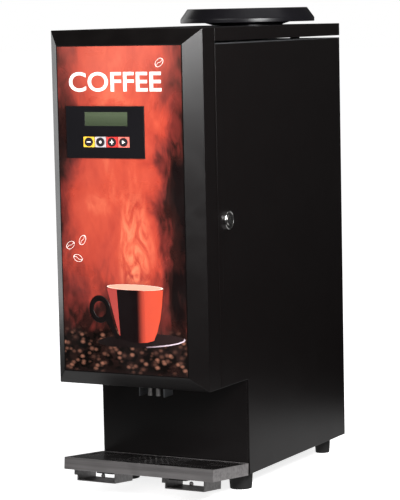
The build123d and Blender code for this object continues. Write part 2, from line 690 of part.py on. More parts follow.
with BuildPart() as main_board:
    block((BOARD_X, BOARD_X + BOARD_THICKNESS), BOARD_Y, BOARD_Z)
    for post_y in around(BOARD_Y, -8):
        for post_z in around(BOARD_Z, -8):
            rod_x((-INNER, BOARD_X), post_y, post_z, 3.0)
    # transformer, relays, processor and terminal strip, as shares of the board's length
    for start, end, low, high, tall in (
        (0.08, 0.40, 8, 48, 22),
        (0.50, 0.66, 10, 30, 15),
        (0.72, 0.88, 10, 30, 15),
        (0.20, 0.55, 75, 105, 4),
        (0.10, 0.90, 138, 150, 11),
    ):
        block(
            (BOARD_X, BOARD_X + BOARD_THICKNESS + tall),
            (BOARD_Y[0] + start * BOARD_LENGTH, BOARD_Y[0] + end * BOARD_LENGTH),
            (BOARD_Z[0] + low, BOARD_Z[0] + high),
        )
main_board.part.label = "main_board"
export_step(main_board.part, "parts/main_board.step")

# ---------------------------------------------------------------- back panel and what it carries
FAN_X = 0.0
FAN_Z = TANK_TOP + FAN_SIZE / 2 + 7.0
FAN_BORE = FAN_SIZE / 2 - 2.0
INLET_X = -62.0
SWITCH_X = -16.0
SERVICE_Z = FOOT_HEIGHT + 56.0
INLET_HALF = (14.0, 10.5)
SWITCH_HALF = (6.4, 10.6)
LOUVRE_HALF = 26.0
GUARD_WEB = 3.0
GUARD_SLOT = 5.0

with BuildPart() as rear_panel:
    block((0.5 - SIDE, SIDE - 0.5), (BACK - SHEET, BACK), (FOOT_HEIGHT, BODY_TOP))
    # finger guard cut in front of the fan
    with BuildSketch(facing_front(BACK)):
        with Locations((FAN_X, FAN_Z)):
            ring = FAN_BORE
            while ring > 2 * GUARD_SLOT:
                Circle(ring)
                Circle(ring - GUARD_SLOT, mode=Mode.SUBTRACT)
                ring -= GUARD_SLOT + GUARD_WEB
            Rectangle(2 * FAN_SIZE, GUARD_WEB, rotation=45, mode=Mode.SUBTRACT)
            Rectangle(2 * FAN_SIZE, GUARD_WEB, rotation=-45, mode=Mode.SUBTRACT)
    extrude(amount=SHEET, mode=Mode.SUBTRACT)
    # air slots behind the tank, and cut-outs for the inlet and the switch
    with BuildSketch(facing_front(BACK)):
        for slot_x in (-2 * LOUVRE_HALF - 6, 0, 2 * LOUVRE_HALF + 6):
            with Locations((slot_x, HEAD_BOTTOM + 60.0)):
                with GridLocations(1, 12.0, 1, 7):
                    SlotOverall(2 * LOUVRE_HALF, 4.0)
        with Locations((INLET_X, SERVICE_Z)):
            Rectangle(2 * INLET_HALF[0] + FIT, 2 * INLET_HALF[1] + FIT)
        with Locations((SWITCH_X, SERVICE_Z)):
            Rectangle(2 * SWITCH_HALF[0] + FIT, 2 * SWITCH_HALF[1] + FIT)
    extrude(amount=SHEET, mode=Mode.SUBTRACT)
rear_panel.part.label = "rear_panel"
export_step(rear_panel.part, "parts/rear_panel.step")

INLET_FLANGE = 2.0
INLET_DEPTH = 24.0
with BuildPart() as power_inlet:
    inlet_x = around((INLET_X, INLET_X), INLET_HALF[0])
    inlet_z = around((SERVICE_Z, SERVICE_Z), INLET_HALF[1])
    block(inlet_x, (BACK - INLET_DEPTH, BACK), inlet_z)
    block(around(inlet_x, 10), (BACK, BACK + INLET_FLANGE), around(inlet_z, 3))
    block(
        around(inlet_x, -2.5),
        (BACK - INLET_DEPTH + 7, BACK + INLET_FLANGE + 1),
        around(inlet_z, -2.5),
        mode=Mode.SUBTRACT,
    )
    for pin_x, pin_z in ((-6.0, -2.5), (6.0, -2.5), (0.0, 2.0)):
        block(
            (INLET_X + pin_x - 1, INLET_X + pin_x + 1),
            (BACK - INLET_DEPTH + 6, BACK - 3),
            (SERVICE_Z + pin_z - 2.5, SERVICE_Z + pin_z + 2.5),
        )
power_inlet.part.label = "power_inlet"
export_step(power_inlet.part, "parts/power_inlet.step")

SWITCH_DEPTH = 14.0
ROCKER_Y = BACK - 3.0
ROCKER_ANGLE = 8.0  # degrees to each side of the middle
ROCKER_HALF = (4.9, 8.4)
ROCKER_PIN = 1.0
ROCKER_PIN_REACH = 1.0  # how far each pin stands out of the rocker
with BuildPart() as power_switch_frame:
    frame_x = around((SWITCH_X, SWITCH_X), SWITCH_HALF[0])
    frame_z = around((SERVICE_Z, SERVICE_Z), SWITCH_HALF[1])
    block(frame_x, (BACK - SWITCH_DEPTH, BACK), frame_z)
    block(around(frame_x, 1.5), (BACK, BACK + 1.5), around(frame_z, 1.5))
    block(
        around(frame_x, -1.2),
        (BACK - SWITCH_DEPTH + 2, BACK + 3),
        around(frame_z, -1.2),
        mode=Mode.SUBTRACT,
    )
    pin_hole_x = around((SWITCH_X, SWITCH_X), SWITCH_HALF[0] + PAST)
    rod_x(pin_hole_x, ROCKER_Y, SERVICE_Z, ROCKER_PIN + RUNNING, mode=Mode.SUBTRACT)
power_switch_frame.part.label = "power_switch_frame"
export_step(power_switch_frame.part, "parts/power_switch_frame.step")

with BuildPart() as power_switch_rocker:
    with BuildSketch(Plane.YZ.offset(SWITCH_X - ROCKER_HALF[0])):
        with Locations(Location((ROCKER_Y, SERVICE_Z, 0), (0, 0, ROCKER_ANGLE))):
            Polygon(
                (-6.0, -4.0),
                (0.0, -ROCKER_HALF[1]),
                (5.2, -ROCKER_HALF[1]),
                (3.6, 0.0),
                (5.2, ROCKER_HALF[1]),
                (0.0, ROCKER_HALF[1]),
                (-6.0, 4.0),
                align=None,
            )
    extrude(amount=2 * ROCKER_HALF[0])
    pin_x = around((SWITCH_X, SWITCH_X), ROCKER_HALF[0] + ROCKER_PIN_REACH)
    rod_x(pin_x, ROCKER_Y, SERVICE_Z, ROCKER_PIN)
power_switch_rocker.part.label = "power_switch_rocker"
export_step(power_switch_rocker.part, "parts/power_switch_rocker.step")

# ---------------------------------------------------------------- exhaust fan
FAN_Y = (BACK - SHEET - FIT - FAN_DEPTH, BACK - SHEET - FIT)
FAN_X_SPAN = around((FAN_X, FAN_X), FAN_SIZE / 2)
FAN_Z_SPAN = around((FAN_Z, FAN_Z), FAN_SIZE / 2)
HUB = 18.0
BLADE_COUNT = 7
BLADE_PITCH = 35.0
BLADE_TIP = FAN_BORE - 2.5
FAN_PIN = 1.5

with BuildPart() as exhaust_fan_frame:
    block(FAN_X_SPAN, FAN_Y, FAN_Z_SPAN)
    rod_y(FAN_X, around(FAN_Y, PAST), FAN_Z, FAN_BORE, mode=Mode.SUBTRACT)
    rod_y(FAN_X, (FAN_Y[0], FAN_Y[0] + 3), FAN_Z, HUB)
    for spoke_angle in (45, -45):
        with Locations(Location((FAN_X, FAN_Y[0] + 1.5, FAN_Z), (0, spoke_angle, 0))):
            Box(2 * FAN_BORE + 1, 3, 5)
    rod_y(FAN_X, (FAN_Y[0] - 1, FAN_Y[0] + 4), FAN_Z, FAN_PIN + RUNNING, mode=Mode.SUBTRACT)
exhaust_fan_frame.part.label = "exhaust_fan_frame"
export_step(exhaust_fan_frame.part, "parts/exhaust_fan_frame.step")

ROTOR_Y = (FAN_Y[0] + 4.0, FAN_Y[1] - 3.0)
ROTOR_MIDDLE = (ROTOR_Y[0] + ROTOR_Y[1]) / 2
with BuildPart() as exhaust_fan_rotor:
    rod_y(FAN_X, ROTOR_Y, FAN_Z, HUB)
    rod_y(FAN_X, (FAN_Y[0] + 0.5, ROTOR_Y[0]), FAN_Z, FAN_PIN)
    for blade in range(BLADE_COUNT):
        turn = Location((FAN_X, ROTOR_MIDDLE, FAN_Z), (0, blade * 360 / BLADE_COUNT, 0))
        lean = Location(((HUB + BLADE_TIP) / 2 - 1, 0, 0), (BLADE_PITCH, 0, 0))
        with Locations(turn * lean):
            Box(BLADE_TIP - HUB + 2, 1.8, 17)
exhaust_fan_rotor.part.label = "exhaust_fan_rotor"
export_step(exhaust_fan_rotor.part, "parts/exhaust_fan_rotor.step")

# ---------------------------------------------------------------- top plate
TOP_OPENING_MARGIN = 6.0
with BuildPart() as top_plate:
    block((-SIDE, SIDE), (CABINET_FRONT, BACK - SHEET), (SIDE_TOP, BODY_TOP))
    block(
        (-BETWEEN, BETWEEN),
        around((CANISTER_FRONT, CANISTER_BACK), TOP_OPENING_MARGIN),
        around((SIDE_TOP, BODY_TOP), PAST),
        mode=Mode.SUBTRACT,
    )
    rod_z(LID_X, LID_Y, around((SIDE_TOP, BODY_TOP), PAST), COLLAR + 6, mode=Mode.SUBTRACT)
top_plate.part.label = "top_plate"
export_step(top_plate.part, "parts/top_plate.step")

# ---------------------------------------------------------------- top cover and its bumpers
COVER_Y = (CABINET_FRONT, BACK)
COVER_Z = (COVER_TOP - COVER_BAND, COVER_TOP)
BUMPER_RADIUS = 7.0
BUMPER_PLACES = (
    (-SIDE + 30.0, CABINET_FRONT + 18.0),
    (SIDE - 30.0, CABINET_FRONT + 18.0),
    (-SIDE + 65.0, BACK - 15.0),
    (SIDE - 65.0, BACK - 15.0),
)

with BuildPart() as top_cover:
    block((-SIDE, SIDE), COVER_Y, COVER_Z)
    block(
        (-INNER, INNER),
        around(COVER_Y, -SHEET),
        (COVER_Z[0] - PAST, COVER_TOP - SHEET),
        mode=Mode.SUBTRACT,
    )
    rod_z(LID_X, LID_Y, around(COVER_Z, PAST), NECK_RADIUS + FIT, mode=Mode.SUBTRACT)
top_cover.part.label = "top_cover"
export_step(top_cover.part, "parts/top_cover.step")

with BuildPart() as cover_bumpers:
    for bumper_x, bumper_y in BUMPER_PLACES:
        rod_z(bumper_x, bumper_y, (BODY_TOP + 0.1, COVER_TOP - SHEET), BUMPER_RADIUS)
cover_bumpers.part.label = "cover_bumpers"
export_step(cover_bumpers.part, "parts/cover_bumpers.step")

# ---------------------------------------------------------------- water funnel and its cap
LID_TOP = COVER_TOP + LID_RISE
RIM_BOTTOM = COVER_TOP + NECK_RISE
RIM_TOP = RIM_BOTTOM + LID_RIM
CAP_TOP = LID_TOP - 1.0
CAP_THICKNESS = 3.5
REBATE = CAP_TOP - CAP_THICKNESS
FUNNEL_WALL = 3.0
THROAT_BOTTOM = COLLAR_TOP - 12.0
LID_PLANE = Plane(origin=(LID_X, LID_Y, 0), x_dir=(1, 0, 0), z_dir=(0, -1, 0))
LID_AXIS = Axis((LID_X, LID_Y, 0), (0, 0, 1))

with BuildPart() as filler_funnel:
    with BuildSketch(LID_PLANE):
        Polygon(
            (THROAT - FUNNEL_WALL, THROAT_BOTTOM),
            (THROAT, THROAT_BOTTOM),
            (THROAT, BODY_TOP),
            (NECK_RADIUS, COVER_TOP - 5.0),
            (NECK_RADIUS, RIM_BOTTOM),
            (LID_RADIUS, RIM_BOTTOM),
            (LID_RADIUS, RIM_TOP),
            (LID_TOP_RADIUS, LID_TOP),
            (CAP_RADIUS + FIT, LID_TOP),
            (CAP_RADIUS + FIT, REBATE),
            (CAP_RADIUS - 4.0, REBATE),
            (CAP_RADIUS - 8.0, RIM_BOTTOM + FUNNEL_WALL),
            (NECK_RADIUS - FUNNEL_WALL, COVER_TOP),
            (THROAT - FUNNEL_WALL, BODY_TOP + 4.0),
            align=None,
        )
    revolve(axis=LID_AXIS)
filler_funnel.part.label = "filler_funnel"
export_step(filler_funnel.part, "parts/filler_funnel.step")

GRIP_RADIUS = 26.0
GRIP_DEPTH = 14.0
GRIP_BAR = 5.0
with BuildPart() as filler_cap:
    rod_z(LID_X, LID_Y, (REBATE, CAP_TOP), CAP_RADIUS)
    rod_z(LID_X, LID_Y, (CAP_TOP - GRIP_DEPTH, CAP_TOP), GRIP_RADIUS + 2)
    rod_z(LID_X, LID_Y, (CAP_TOP - GRIP_DEPTH + 2, CAP_TOP + 1), GRIP_RADIUS, mode=Mode.SUBTRACT)
    block(
        (LID_X - GRIP_RADIUS - 1, LID_X + GRIP_RADIUS + 1),
        (LID_Y - GRIP_BAR, LID_Y + GRIP_BAR),
        (CAP_TOP - GRIP_BAR, CAP_TOP),
    )
filler_cap.part.label = "filler_cap"
export_step(filler_cap.part, "parts/filler_cap.step")

# ---------------------------------------------------------------- door shell
FLAT_WIDTH = WIDTH - 2 * BEVEL
FLAT_HEIGHT = DOOR_HEIGHT - 2 * BEVEL
FOLD = SHEET * tan(radians(22.5))  # where the bevel's inner face meets the straight inner faces
FOLD_Y = DOOR_RIM + FOLD

BEZEL_X = (BEZEL_MARGIN + BEVEL - SIDE, BEZEL_MARGIN + BEVEL - SIDE + BEZEL_WIDTH)
BEZEL_TOP = COVER_TOP - BEZEL_DROP
BEZEL_Z = (BEZEL_TOP - BEZEL_HEIGHT, BEZEL_TOP)
BEZEL_Y = (DOOR_FACE - BEZEL_THICKNESS, DOOR_FACE)
PANEL_X = (BEZEL_X[0] + BEZEL_X[1]) / 2 + 2.0
LCD_X = around((PANEL_X, PANEL_X), LCD_WIDTH / 2)
LCD_Z = (BEZEL_TOP - LCD_DROP - LCD_HEIGHT, BEZEL_TOP - LCD_DROP)
KEY_Z = BEZEL_TOP - KEY_DROP
KEY_X = [PANEL_X + (index - (KEY_COUNT - 1) / 2) * KEY_PITCH for index in range(KEY_COUNT)]
KEY_FLANGE = 0.55
KEYS_X = (KEY_X[0] - KEY_PITCH / 2 - 1, KEY_X[-1] + KEY_PITCH / 2 + 1)
KEYS_Z = around((KEY_Z, KEY_Z), KEY_HEIGHT / 2 + KEY_FLANGE + 1)

with BuildPart() as door_shell:
    with BuildSketch(facing_front(DOOR_BACK)):
        with Locations((0, DOOR_MIDDLE)):
            Rectangle(WIDTH, DOOR_HEIGHT)
    extrude(amount=SKIRT)
    for sheet_inside, mode in ((0.0, Mode.ADD), (SHEET, Mode.SUBTRACT)):
        with BuildSketch(facing_front(DOOR_RIM + (FOLD if sheet_inside else 0.0))):
            with Locations((0, DOOR_MIDDLE)):
                Rectangle(WIDTH - 2 * sheet_inside, DOOR_HEIGHT - 2 * sheet_inside)
        inset = FOLD if sheet_inside else 0.0
        with BuildSketch(facing_front(DOOR_FACE + sheet_inside)):
            with Locations((0, DOOR_MIDDLE)):
                Rectangle(FLAT_WIDTH - 2 * inset, FLAT_HEIGHT - 2 * inset)
        loft(mode=mode)
    with BuildSketch(facing_front(DOOR_BACK - SHEET)):
        with Locations((0, DOOR_MIDDLE)):
            Rectangle(WIDTH - 2 * SHEET, DOOR_HEIGHT - 2 * SHEET)
    extrude(amount=SKIRT - SHEET - FOLD, mode=Mode.SUBTRACT)
    with BuildSketch(facing_front(DOOR_BACK)):
        with Locations((0, DOOR_MIDDLE)):
            Rectangle(WIDTH - 2 * RETURN, DOOR_HEIGHT - 2 * RETURN)
    extrude(amount=SHEET, mode=Mode.SUBTRACT)
    sheet_y = (DOOR_FACE - 1, DOOR_FACE + SHEET + 1)
    block(around(LCD_X, 3), sheet_y, around(LCD_Z, 2), mode=Mode.SUBTRACT)
    block(KEYS_X, sheet_y, KEYS_Z, mode=Mode.SUBTRACT)
door_shell.part.label = "door_shell"
export_step(door_shell.part, "parts/door_shell.step")

# ---------------------------------------------------------------- printed sheet on the door
with BuildPart() as poster_sheet:
    with BuildSketch(facing_front(DOOR_FACE)):
        with Locations((0, DOOR_MIDDLE)):
            Rectangle(FLAT_WIDTH - 2 * POSTER_MARGIN, FLAT_HEIGHT - 2 * POSTER_MARGIN)
    extrude(amount=POSTER)
    block(
        around(BEZEL_X, 0.1),
        (FRONT - 1, DOOR_FACE + 1),
        around(BEZEL_Z, 0.1),
        mode=Mode.SUBTRACT,
    )
poster_sheet.part.label = "poster_sheet"
export_step(poster_sheet.part, "parts/poster_sheet.step")

# ---------------------------------------------------------------- control panel
with BuildPart() as control_bezel:
    block(BEZEL_X, BEZEL_Y, BEZEL_Z)
    block(LCD_X, around(BEZEL_Y, PAST), LCD_Z, mode=Mode.SUBTRACT)
    for key_x in KEY_X:
        block(
            around((key_x, key_x), KEY_WIDTH / 2 + KEY_GAP),
            around(BEZEL_Y, PAST),
            around((KEY_Z, KEY_Z), KEY_HEIGHT / 2 + KEY_GAP),
            mode=Mode.SUBTRACT,
        )
control_bezel.part.label = "control_bezel"
export_step(control_bezel.part, "parts/control_bezel.step")

with BuildPart() as lcd_window:
    block(around(LCD_X, -0.1), (BEZEL_Y[0] + 0.2, BEZEL_Y[1] - 0.2), around(LCD_Z, -0.1))
lcd_window.part.label = "lcd_window"
export_step(lcd_window.part, "parts/lcd_window.step")

DISPLAY_Y = DOOR_FACE + 11.0
KEY_STEM_END = DOOR_FACE + 6.5
SWITCH_FRONT = KEY_STEM_END + KEY_TRAVEL + 0.1
with BuildPart() as display_board:
    block(around(BEZEL_X, -5), (DISPLAY_Y, DISPLAY_Y + BOARD_THICKNESS), around(BEZEL_Z, -4))
    block(around(LCD_X, 2), (DOOR_FACE + 0.3, DISPLAY_Y), around(LCD_Z, 1.5))
    for key_x in KEY_X:
        block(
            around((key_x, key_x), 3),
            (SWITCH_FRONT, DISPLAY_Y),
            around((KEY_Z, KEY_Z), 3),
        )
display_board.part.label = "display_board"
export_step(display_board.part, "parts/display_board.step")

DISPLAY_BACK = DISPLAY_Y + 14.0
with BuildPart() as display_cover:
    block(around(BEZEL_X, 2), (DOOR_FACE + SHEET + 0.1, DISPLAY_BACK), around(BEZEL_Z, 2))
    block(
        around(BEZEL_X, 0.5),
        (DOOR_FACE, DISPLAY_BACK - 1.5),
        around(BEZEL_Z, 0.5),
        mode=Mode.SUBTRACT,
    )
display_cover.part.label = "display_cover"
export_step(display_cover.part, "parts/display_cover.step")

for number, key_x in enumerate(KEY_X, start=1):
    with BuildPart() as key_button:
        block(
            around((key_x, key_x), KEY_WIDTH / 2),
            (BEZEL_Y[0] - KEY_PROUD, BEZEL_Y[1] + 0.1),
            around((KEY_Z, KEY_Z), KEY_HEIGHT / 2),
        )
        block(
            around((key_x, key_x), KEY_WIDTH / 2),
            (BEZEL_Y[1] + 0.1, BEZEL_Y[1] + 1.4),
            around((KEY_Z, KEY_Z), KEY_HEIGHT / 2 + KEY_FLANGE),
        )
        rod_y(key_x, (BEZEL_Y[1] + 1.3, KEY_STEM_END), KEY_Z, 2.0)
    key_button.part.label = f"key_button_{number}"
    export_step(key_button.part, f"parts/key_button_{number}.step")

# ---------------------------------------------------------------- cam lock and the door's keeper
PLUG_BACK = SIDE - LOCK_LENGTH
HEAD_FRONT = SIDE + LOCK_HEAD_PROUD
NUT_HEIGHT = 4.0

with BuildPart() as lock_body:
    rod_x((PLUG_BACK + 1, HEAD_FRONT - 0.5), LOCK_Y, LOCK_Z, LOCK_BARREL)
    rod_x((SIDE, HEAD_FRONT), LOCK_Y, LOCK_Z, LOCK_HEAD)
    rod_x((PLUG_BACK, HEAD_FRONT + 1), LOCK_Y, LOCK_Z, PLUG_RADIUS + RUNNING, mode=Mode.SUBTRACT)
    with BuildSketch(Plane.YZ.offset(INNER - NUT_HEIGHT)):
        with Locations((LOCK_Y, LOCK_Z)):
            RegularPolygon(LOCK_BARREL + 2.4, 6)
            Circle(LOCK_BARREL + RUNNING, mode=Mode.SUBTRACT)
    extrude(amount=NUT_HEIGHT)
lock_body.part.label = "lock_body"
export_step(lock_body.part, "parts/lock_body.step")

with BuildPart() as lock_plug:
    rod_x((PLUG_BACK, HEAD_FRONT + 0.8), LOCK_Y, LOCK_Z, PLUG_RADIUS)
    block(
        (HEAD_FRONT - 8, HEAD_FRONT + 2),
        (LOCK_Y - 0.9, LOCK_Y + 0.9),
        (LOCK_Z - 4.2, LOCK_Z + 4.2),
        mode=Mode.SUBTRACT,
    )
lock_plug.part.label = "lock_plug"
export_step(lock_plug.part, "parts/lock_plug.step")

# the cam points to the front while unlocked, and turns down in front of the keeper's lip
CAM_X = (PLUG_BACK - CAM_THICKNESS, PLUG_BACK)
with BuildPart() as lock_cam:
    with BuildSketch(Plane.YZ.offset(CAM_X[0])):
        with Locations((LOCK_Y, LOCK_Z)):
            Circle(CAM_HALF + 2)
        with Locations((LOCK_Y - CAM_LENGTH / 2, LOCK_Z)):
            Rectangle(CAM_LENGTH, 2 * CAM_HALF)
    extrude(amount=CAM_THICKNESS)
lock_cam.part.label = "lock_cam"
export_step(lock_cam.part, "parts/lock_cam.step")

KEEPER_X = PLUG_BACK + 5.4
CAM_PLAY = 2.6  # from the locked cam to the keeper's lip
LIP_Y = LOCK_Y + CAM_HALF + CAM_PLAY
KEEPER_Z = (LOCK_Z - CAM_LENGTH, LOCK_Z - CAM_LENGTH / 2)
PAD_Y = (DOOR_BACK - SHEET - KEEPER, DOOR_BACK - SHEET)
with BuildPart() as lock_keeper:
    block((KEEPER_X, INNER - FIT), PAD_Y, around(KEEPER_Z, 6))
    block((KEEPER_X, KEEPER_X + KEEPER), (PAD_Y[0], LIP_Y + KEEPER), KEEPER_Z)
    block((CAM_X[0] - 2, KEEPER_X + KEEPER), (LIP_Y, LIP_Y + KEEPER), KEEPER_Z)
lock_keeper.part.label = "lock_keeper"
export_step(lock_keeper.part, "parts/lock_keeper.step")

# ---------------------------------------------------------------- hinges on the left side
HINGE_LEVELS = (HEAD_BOTTOM + HINGE_INSET, BODY_TOP - HINGE_INSET)
LEAF_X = (-SIDE - HINGE_SHEET, -SIDE)
KNUCKLE = HINGE_HEIGHT / 3
HINGE_SPLIT = HINGE_RADIUS + FIT


def hinge_leaf(level, direction, knuckles):
    """A leaf beside the hinge line, with its own knuckles along it."""
    near, far = sorted((HINGE_Y + direction * HINGE_SPLIT, HINGE_Y + direction * HINGE_LEAF))
    block(LEAF_X, (near, far), (level - HINGE_HEIGHT / 2, level + HINGE_HEIGHT / 2))
    for index in knuckles:
        low = level - HINGE_HEIGHT / 2 + index * KNUCKLE
        knuckle_z = around((low, low + KNUCKLE), -FIT / 2)
        reach = sorted((HINGE_Y, HINGE_Y + direction * (HINGE_SPLIT + 1)))
        block((LEAF_X[0], LEAF_X[1] - FIT), reach, knuckle_z)
        rod_z(HINGE_X, HINGE_Y, knuckle_z, HINGE_RADIUS)
        rod_z(HINGE_X, HINGE_Y, knuckle_z, HINGE_PIN + RUNNING, mode=Mode.SUBTRACT)


with BuildPart() as cabinet_hinges:
    for level in HINGE_LEVELS:
        hinge_leaf(level, 1, (0, 2))
        pin_z = around((level, level), HINGE_HEIGHT / 2)
        rod_z(HINGE_X, HINGE_Y, pin_z, HINGE_PIN)
        rod_z(HINGE_X, HINGE_Y, (pin_z[1], pin_z[1] + 1.5), HINGE_PIN + 1)
cabinet_hinges.part.label = "cabinet_hinges"
export_step(cabinet_hinges.part, "parts/cabinet_hinges.step")

with BuildPart() as door_hinge_leaves:
    for level in HINGE_LEVELS:
        hinge_leaf(level, -1, (1,))
door_hinge_leaves.part.label = "door_hinge_leaves"
export_step(door_hinge_leaves.part, "parts/door_hinge_leaves.step")

# ---------------------------------------------------------------- drip tray, falling to the back
TILT = radians(TRAY_TILT)
TRAY_REAR = RECESS - FIT - 0.2
TRAY_LENGTH = (TRAY_REAR - FRONT - TRAY_FRONT_GAP) / cos(TILT)
TRAY_PLANE = Plane(
    origin=(0, TRAY_REAR, TRAY_REAR_TOP),
    x_dir=(1, 0, 0),
    z_dir=(0, sin(TILT), cos(TILT)),
)
PAN_X = (-SIDE, SIDE)
PAN_Y = (-TRAY_LENGTH, -TRAY_HEIGHT * tan(TILT))
PAN_Z = (-TRAY_HEIGHT, 0.0)
PLATE_SHEET = 1.2
PLATE_DROP = 0.3
REST_SIZE = 9.0

with BuildPart(TRAY_PLANE) as tray_pan:
    block(PAN_X, PAN_Y, PAN_Z)
    block(
        around(PAN_X, -TRAY_SHEET),
        around(PAN_Y, -TRAY_SHEET),
        (TRAY_SHEET - TRAY_HEIGHT, 1),
        mode=Mode.SUBTRACT,
    )
    for rest_x in around(PAN_X, -TRAY_SHEET - REST_SIZE / 2):
        for rest_y in around(PAN_Y, -TRAY_SHEET - REST_SIZE / 2):
            block(
                around((rest_x, rest_x), REST_SIZE / 2),
                around((rest_y, rest_y), REST_SIZE / 2),
                (TRAY_SHEET / 2 - TRAY_HEIGHT, -PLATE_DROP - PLATE_SHEET - 0.1),
            )
tray_pan.part.label = "tray_pan"
export_step(tray_pan.part, "parts/tray_pan.step")

RING_PITCH = (GRILLE_RADIUS - GRILLE_HOLE - 2.0) / GRILLE_RINGS
GRILLE_Y = GRILLE_SETBACK - TRAY_LENGTH
SLOT_X = SIDE - 9.5
with BuildPart(TRAY_PLANE) as tray_plate:
    plate_z = (-PLATE_DROP - PLATE_SHEET, -PLATE_DROP)
    block(around(PAN_X, -TRAY_SHEET - 0.4), around(PAN_Y, -TRAY_SHEET - 0.4), plate_z)
    with Locations((0, GRILLE_Y, -PLATE_DROP - PLATE_SHEET / 2)):
        Cylinder(GRILLE_HOLE, 3 * PLATE_SHEET, mode=Mode.SUBTRACT)
        for ring in range(1, GRILLE_RINGS + 1):
            with PolarLocations(ring * RING_PITCH, 6 * ring):
                Cylinder(GRILLE_HOLE, 3 * PLATE_SHEET, mode=Mode.SUBTRACT)
    for slot_x in (-SLOT_X, SLOT_X):
        block(
            around((slot_x, slot_x), 2.5),
            around((GRILLE_Y + 12, GRILLE_Y + 12), 11.0),
            around(plate_z, PAST),
            mode=Mode.SUBTRACT,
        )
tray_plate.part.label = "tray_plate"
export_step(tray_plate.part, "parts/tray_plate.step")

BRACKET_X = SIDE - BRACKET_INSET
BRACKET_Y = (BRACKET_SETBACK - TRAY_LENGTH, BRACKET_SETBACK + BRACKET_LENGTH - TRAY_LENGTH)
BRACKET_Z = (-TRAY_HEIGHT - BRACKET_HEIGHT, -TRAY_HEIGHT)
BRACKET_SHEET = 1.5
with BuildPart(TRAY_PLANE) as tray_brackets:
    for side, _ in MIRRORED:
        middle = side * BRACKET_X
        channel_x = around((middle, middle), BRACKET_WIDTH / 2)
        block(channel_x, BRACKET_Y, BRACKET_Z)
        block(
            around(channel_x, -BRACKET_SHEET),
            around(BRACKET_Y, PAST),
            (BRACKET_Z[0] + BRACKET_SHEET, 1 - TRAY_HEIGHT),
            mode=Mode.SUBTRACT,
        )
        block(
            (channel_x[0] - BRACKET_LIP, channel_x[0]),
            BRACKET_Y,
            (BRACKET_Z[1] - BRACKET_HEIGHT / 2, BRACKET_Z[1]),
        )
tray_brackets.part.label = "tray_brackets"
export_step(tray_brackets.part, "parts/tray_brackets.step")

# ---------------------------------------------------------------- arms that carry the tray
ARM_X = BRACKET_X - ARM_OFFSET
ARM_GAP = 0.4
ARM_START = 2.0  # from the channel's front to the arm's tip
ARM_TOP = -TRAY_HEIGHT - ARM_GAP
ARM_SEAT = FOOT_HEIGHT - 0.05  # just under the base pan


def tray_point(y, z):
    """A point of the tilted tray's own side view, as (Y, Z) of the cabinet."""
    return (
        TRAY_REAR + y * cos(TILT) + z * sin(TILT),
        TRAY_REAR_TOP - y * sin(TILT) + z * cos(TILT),
    )


ARM_REAR = RECESS + ARM_REACH
BEND_Y = RECESS + 3.0
ARM_BEND = 2.5
with BuildPart() as tray_arms:
    for side, _ in MIRRORED:
        with BuildSketch(Plane.YZ.offset(side * ARM_X - ARM_WIDTH / 2)):
            Polygon(
                tray_point(BRACKET_Y[0] + ARM_START, ARM_TOP),
                tray_point(-ARM_BEND, ARM_TOP),
                (BEND_Y, ARM_SEAT),
                (ARM_REAR, ARM_SEAT),
                (ARM_REAR, FOOT_HEIGHT - ARM_THICKNESS),
                (BEND_Y, FOOT_HEIGHT - ARM_THICKNESS),
                tray_point(-ARM_BEND, ARM_TOP - ARM_THICKNESS),
                tray_point(BRACKET_Y[0] + ARM_START, ARM_TOP - ARM_THICKNESS),
                align=None,
            )
        extrude(amount=ARM_WIDTH)
tray_arms.part.label = "tray_arms"
export_step(tray_arms.part, "parts/tray_arms.step")
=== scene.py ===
"""Finishes, soft edges, printed sheet, keys and studio stage for a hot coffee vending machine."""

import json
from math import cos, pi, radians, sin

import bpy
from mathutils import Matrix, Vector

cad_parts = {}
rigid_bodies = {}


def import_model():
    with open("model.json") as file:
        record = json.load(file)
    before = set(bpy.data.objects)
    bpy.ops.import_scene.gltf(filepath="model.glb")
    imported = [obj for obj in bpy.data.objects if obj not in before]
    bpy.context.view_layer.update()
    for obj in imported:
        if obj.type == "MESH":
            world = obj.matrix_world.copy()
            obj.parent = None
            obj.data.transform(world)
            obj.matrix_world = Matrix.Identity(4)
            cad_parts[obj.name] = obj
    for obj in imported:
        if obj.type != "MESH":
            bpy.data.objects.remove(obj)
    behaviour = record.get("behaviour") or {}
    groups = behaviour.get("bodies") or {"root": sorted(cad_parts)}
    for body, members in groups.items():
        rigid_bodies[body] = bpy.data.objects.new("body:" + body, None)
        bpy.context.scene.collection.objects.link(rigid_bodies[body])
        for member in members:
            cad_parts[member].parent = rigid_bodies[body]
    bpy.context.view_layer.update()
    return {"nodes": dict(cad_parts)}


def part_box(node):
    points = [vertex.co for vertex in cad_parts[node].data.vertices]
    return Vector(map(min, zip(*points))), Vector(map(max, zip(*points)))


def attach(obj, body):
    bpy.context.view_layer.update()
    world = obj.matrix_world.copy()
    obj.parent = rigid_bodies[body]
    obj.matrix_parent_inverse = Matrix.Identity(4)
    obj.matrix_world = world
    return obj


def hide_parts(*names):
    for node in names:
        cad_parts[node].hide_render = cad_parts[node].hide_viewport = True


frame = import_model()

bl_info = {
    "name": "Hot coffee vending machine",
    "version": (1, 0, 0),
    "blender": (4, 5, 0),
    "location": "View3D > Sidebar > Coffee Machine",
    "description": "Builds the looks of a countertop hot coffee vending machine round its packed frame",
    "category": "Object",
}

BEVEL_SEGMENTS = 2
# Radius of the edge mask that lightens edges: partly rubbing, partly a painted edge highlight.
WEAR_AND_HIGHLIGHT_RADIUS = 0.0012

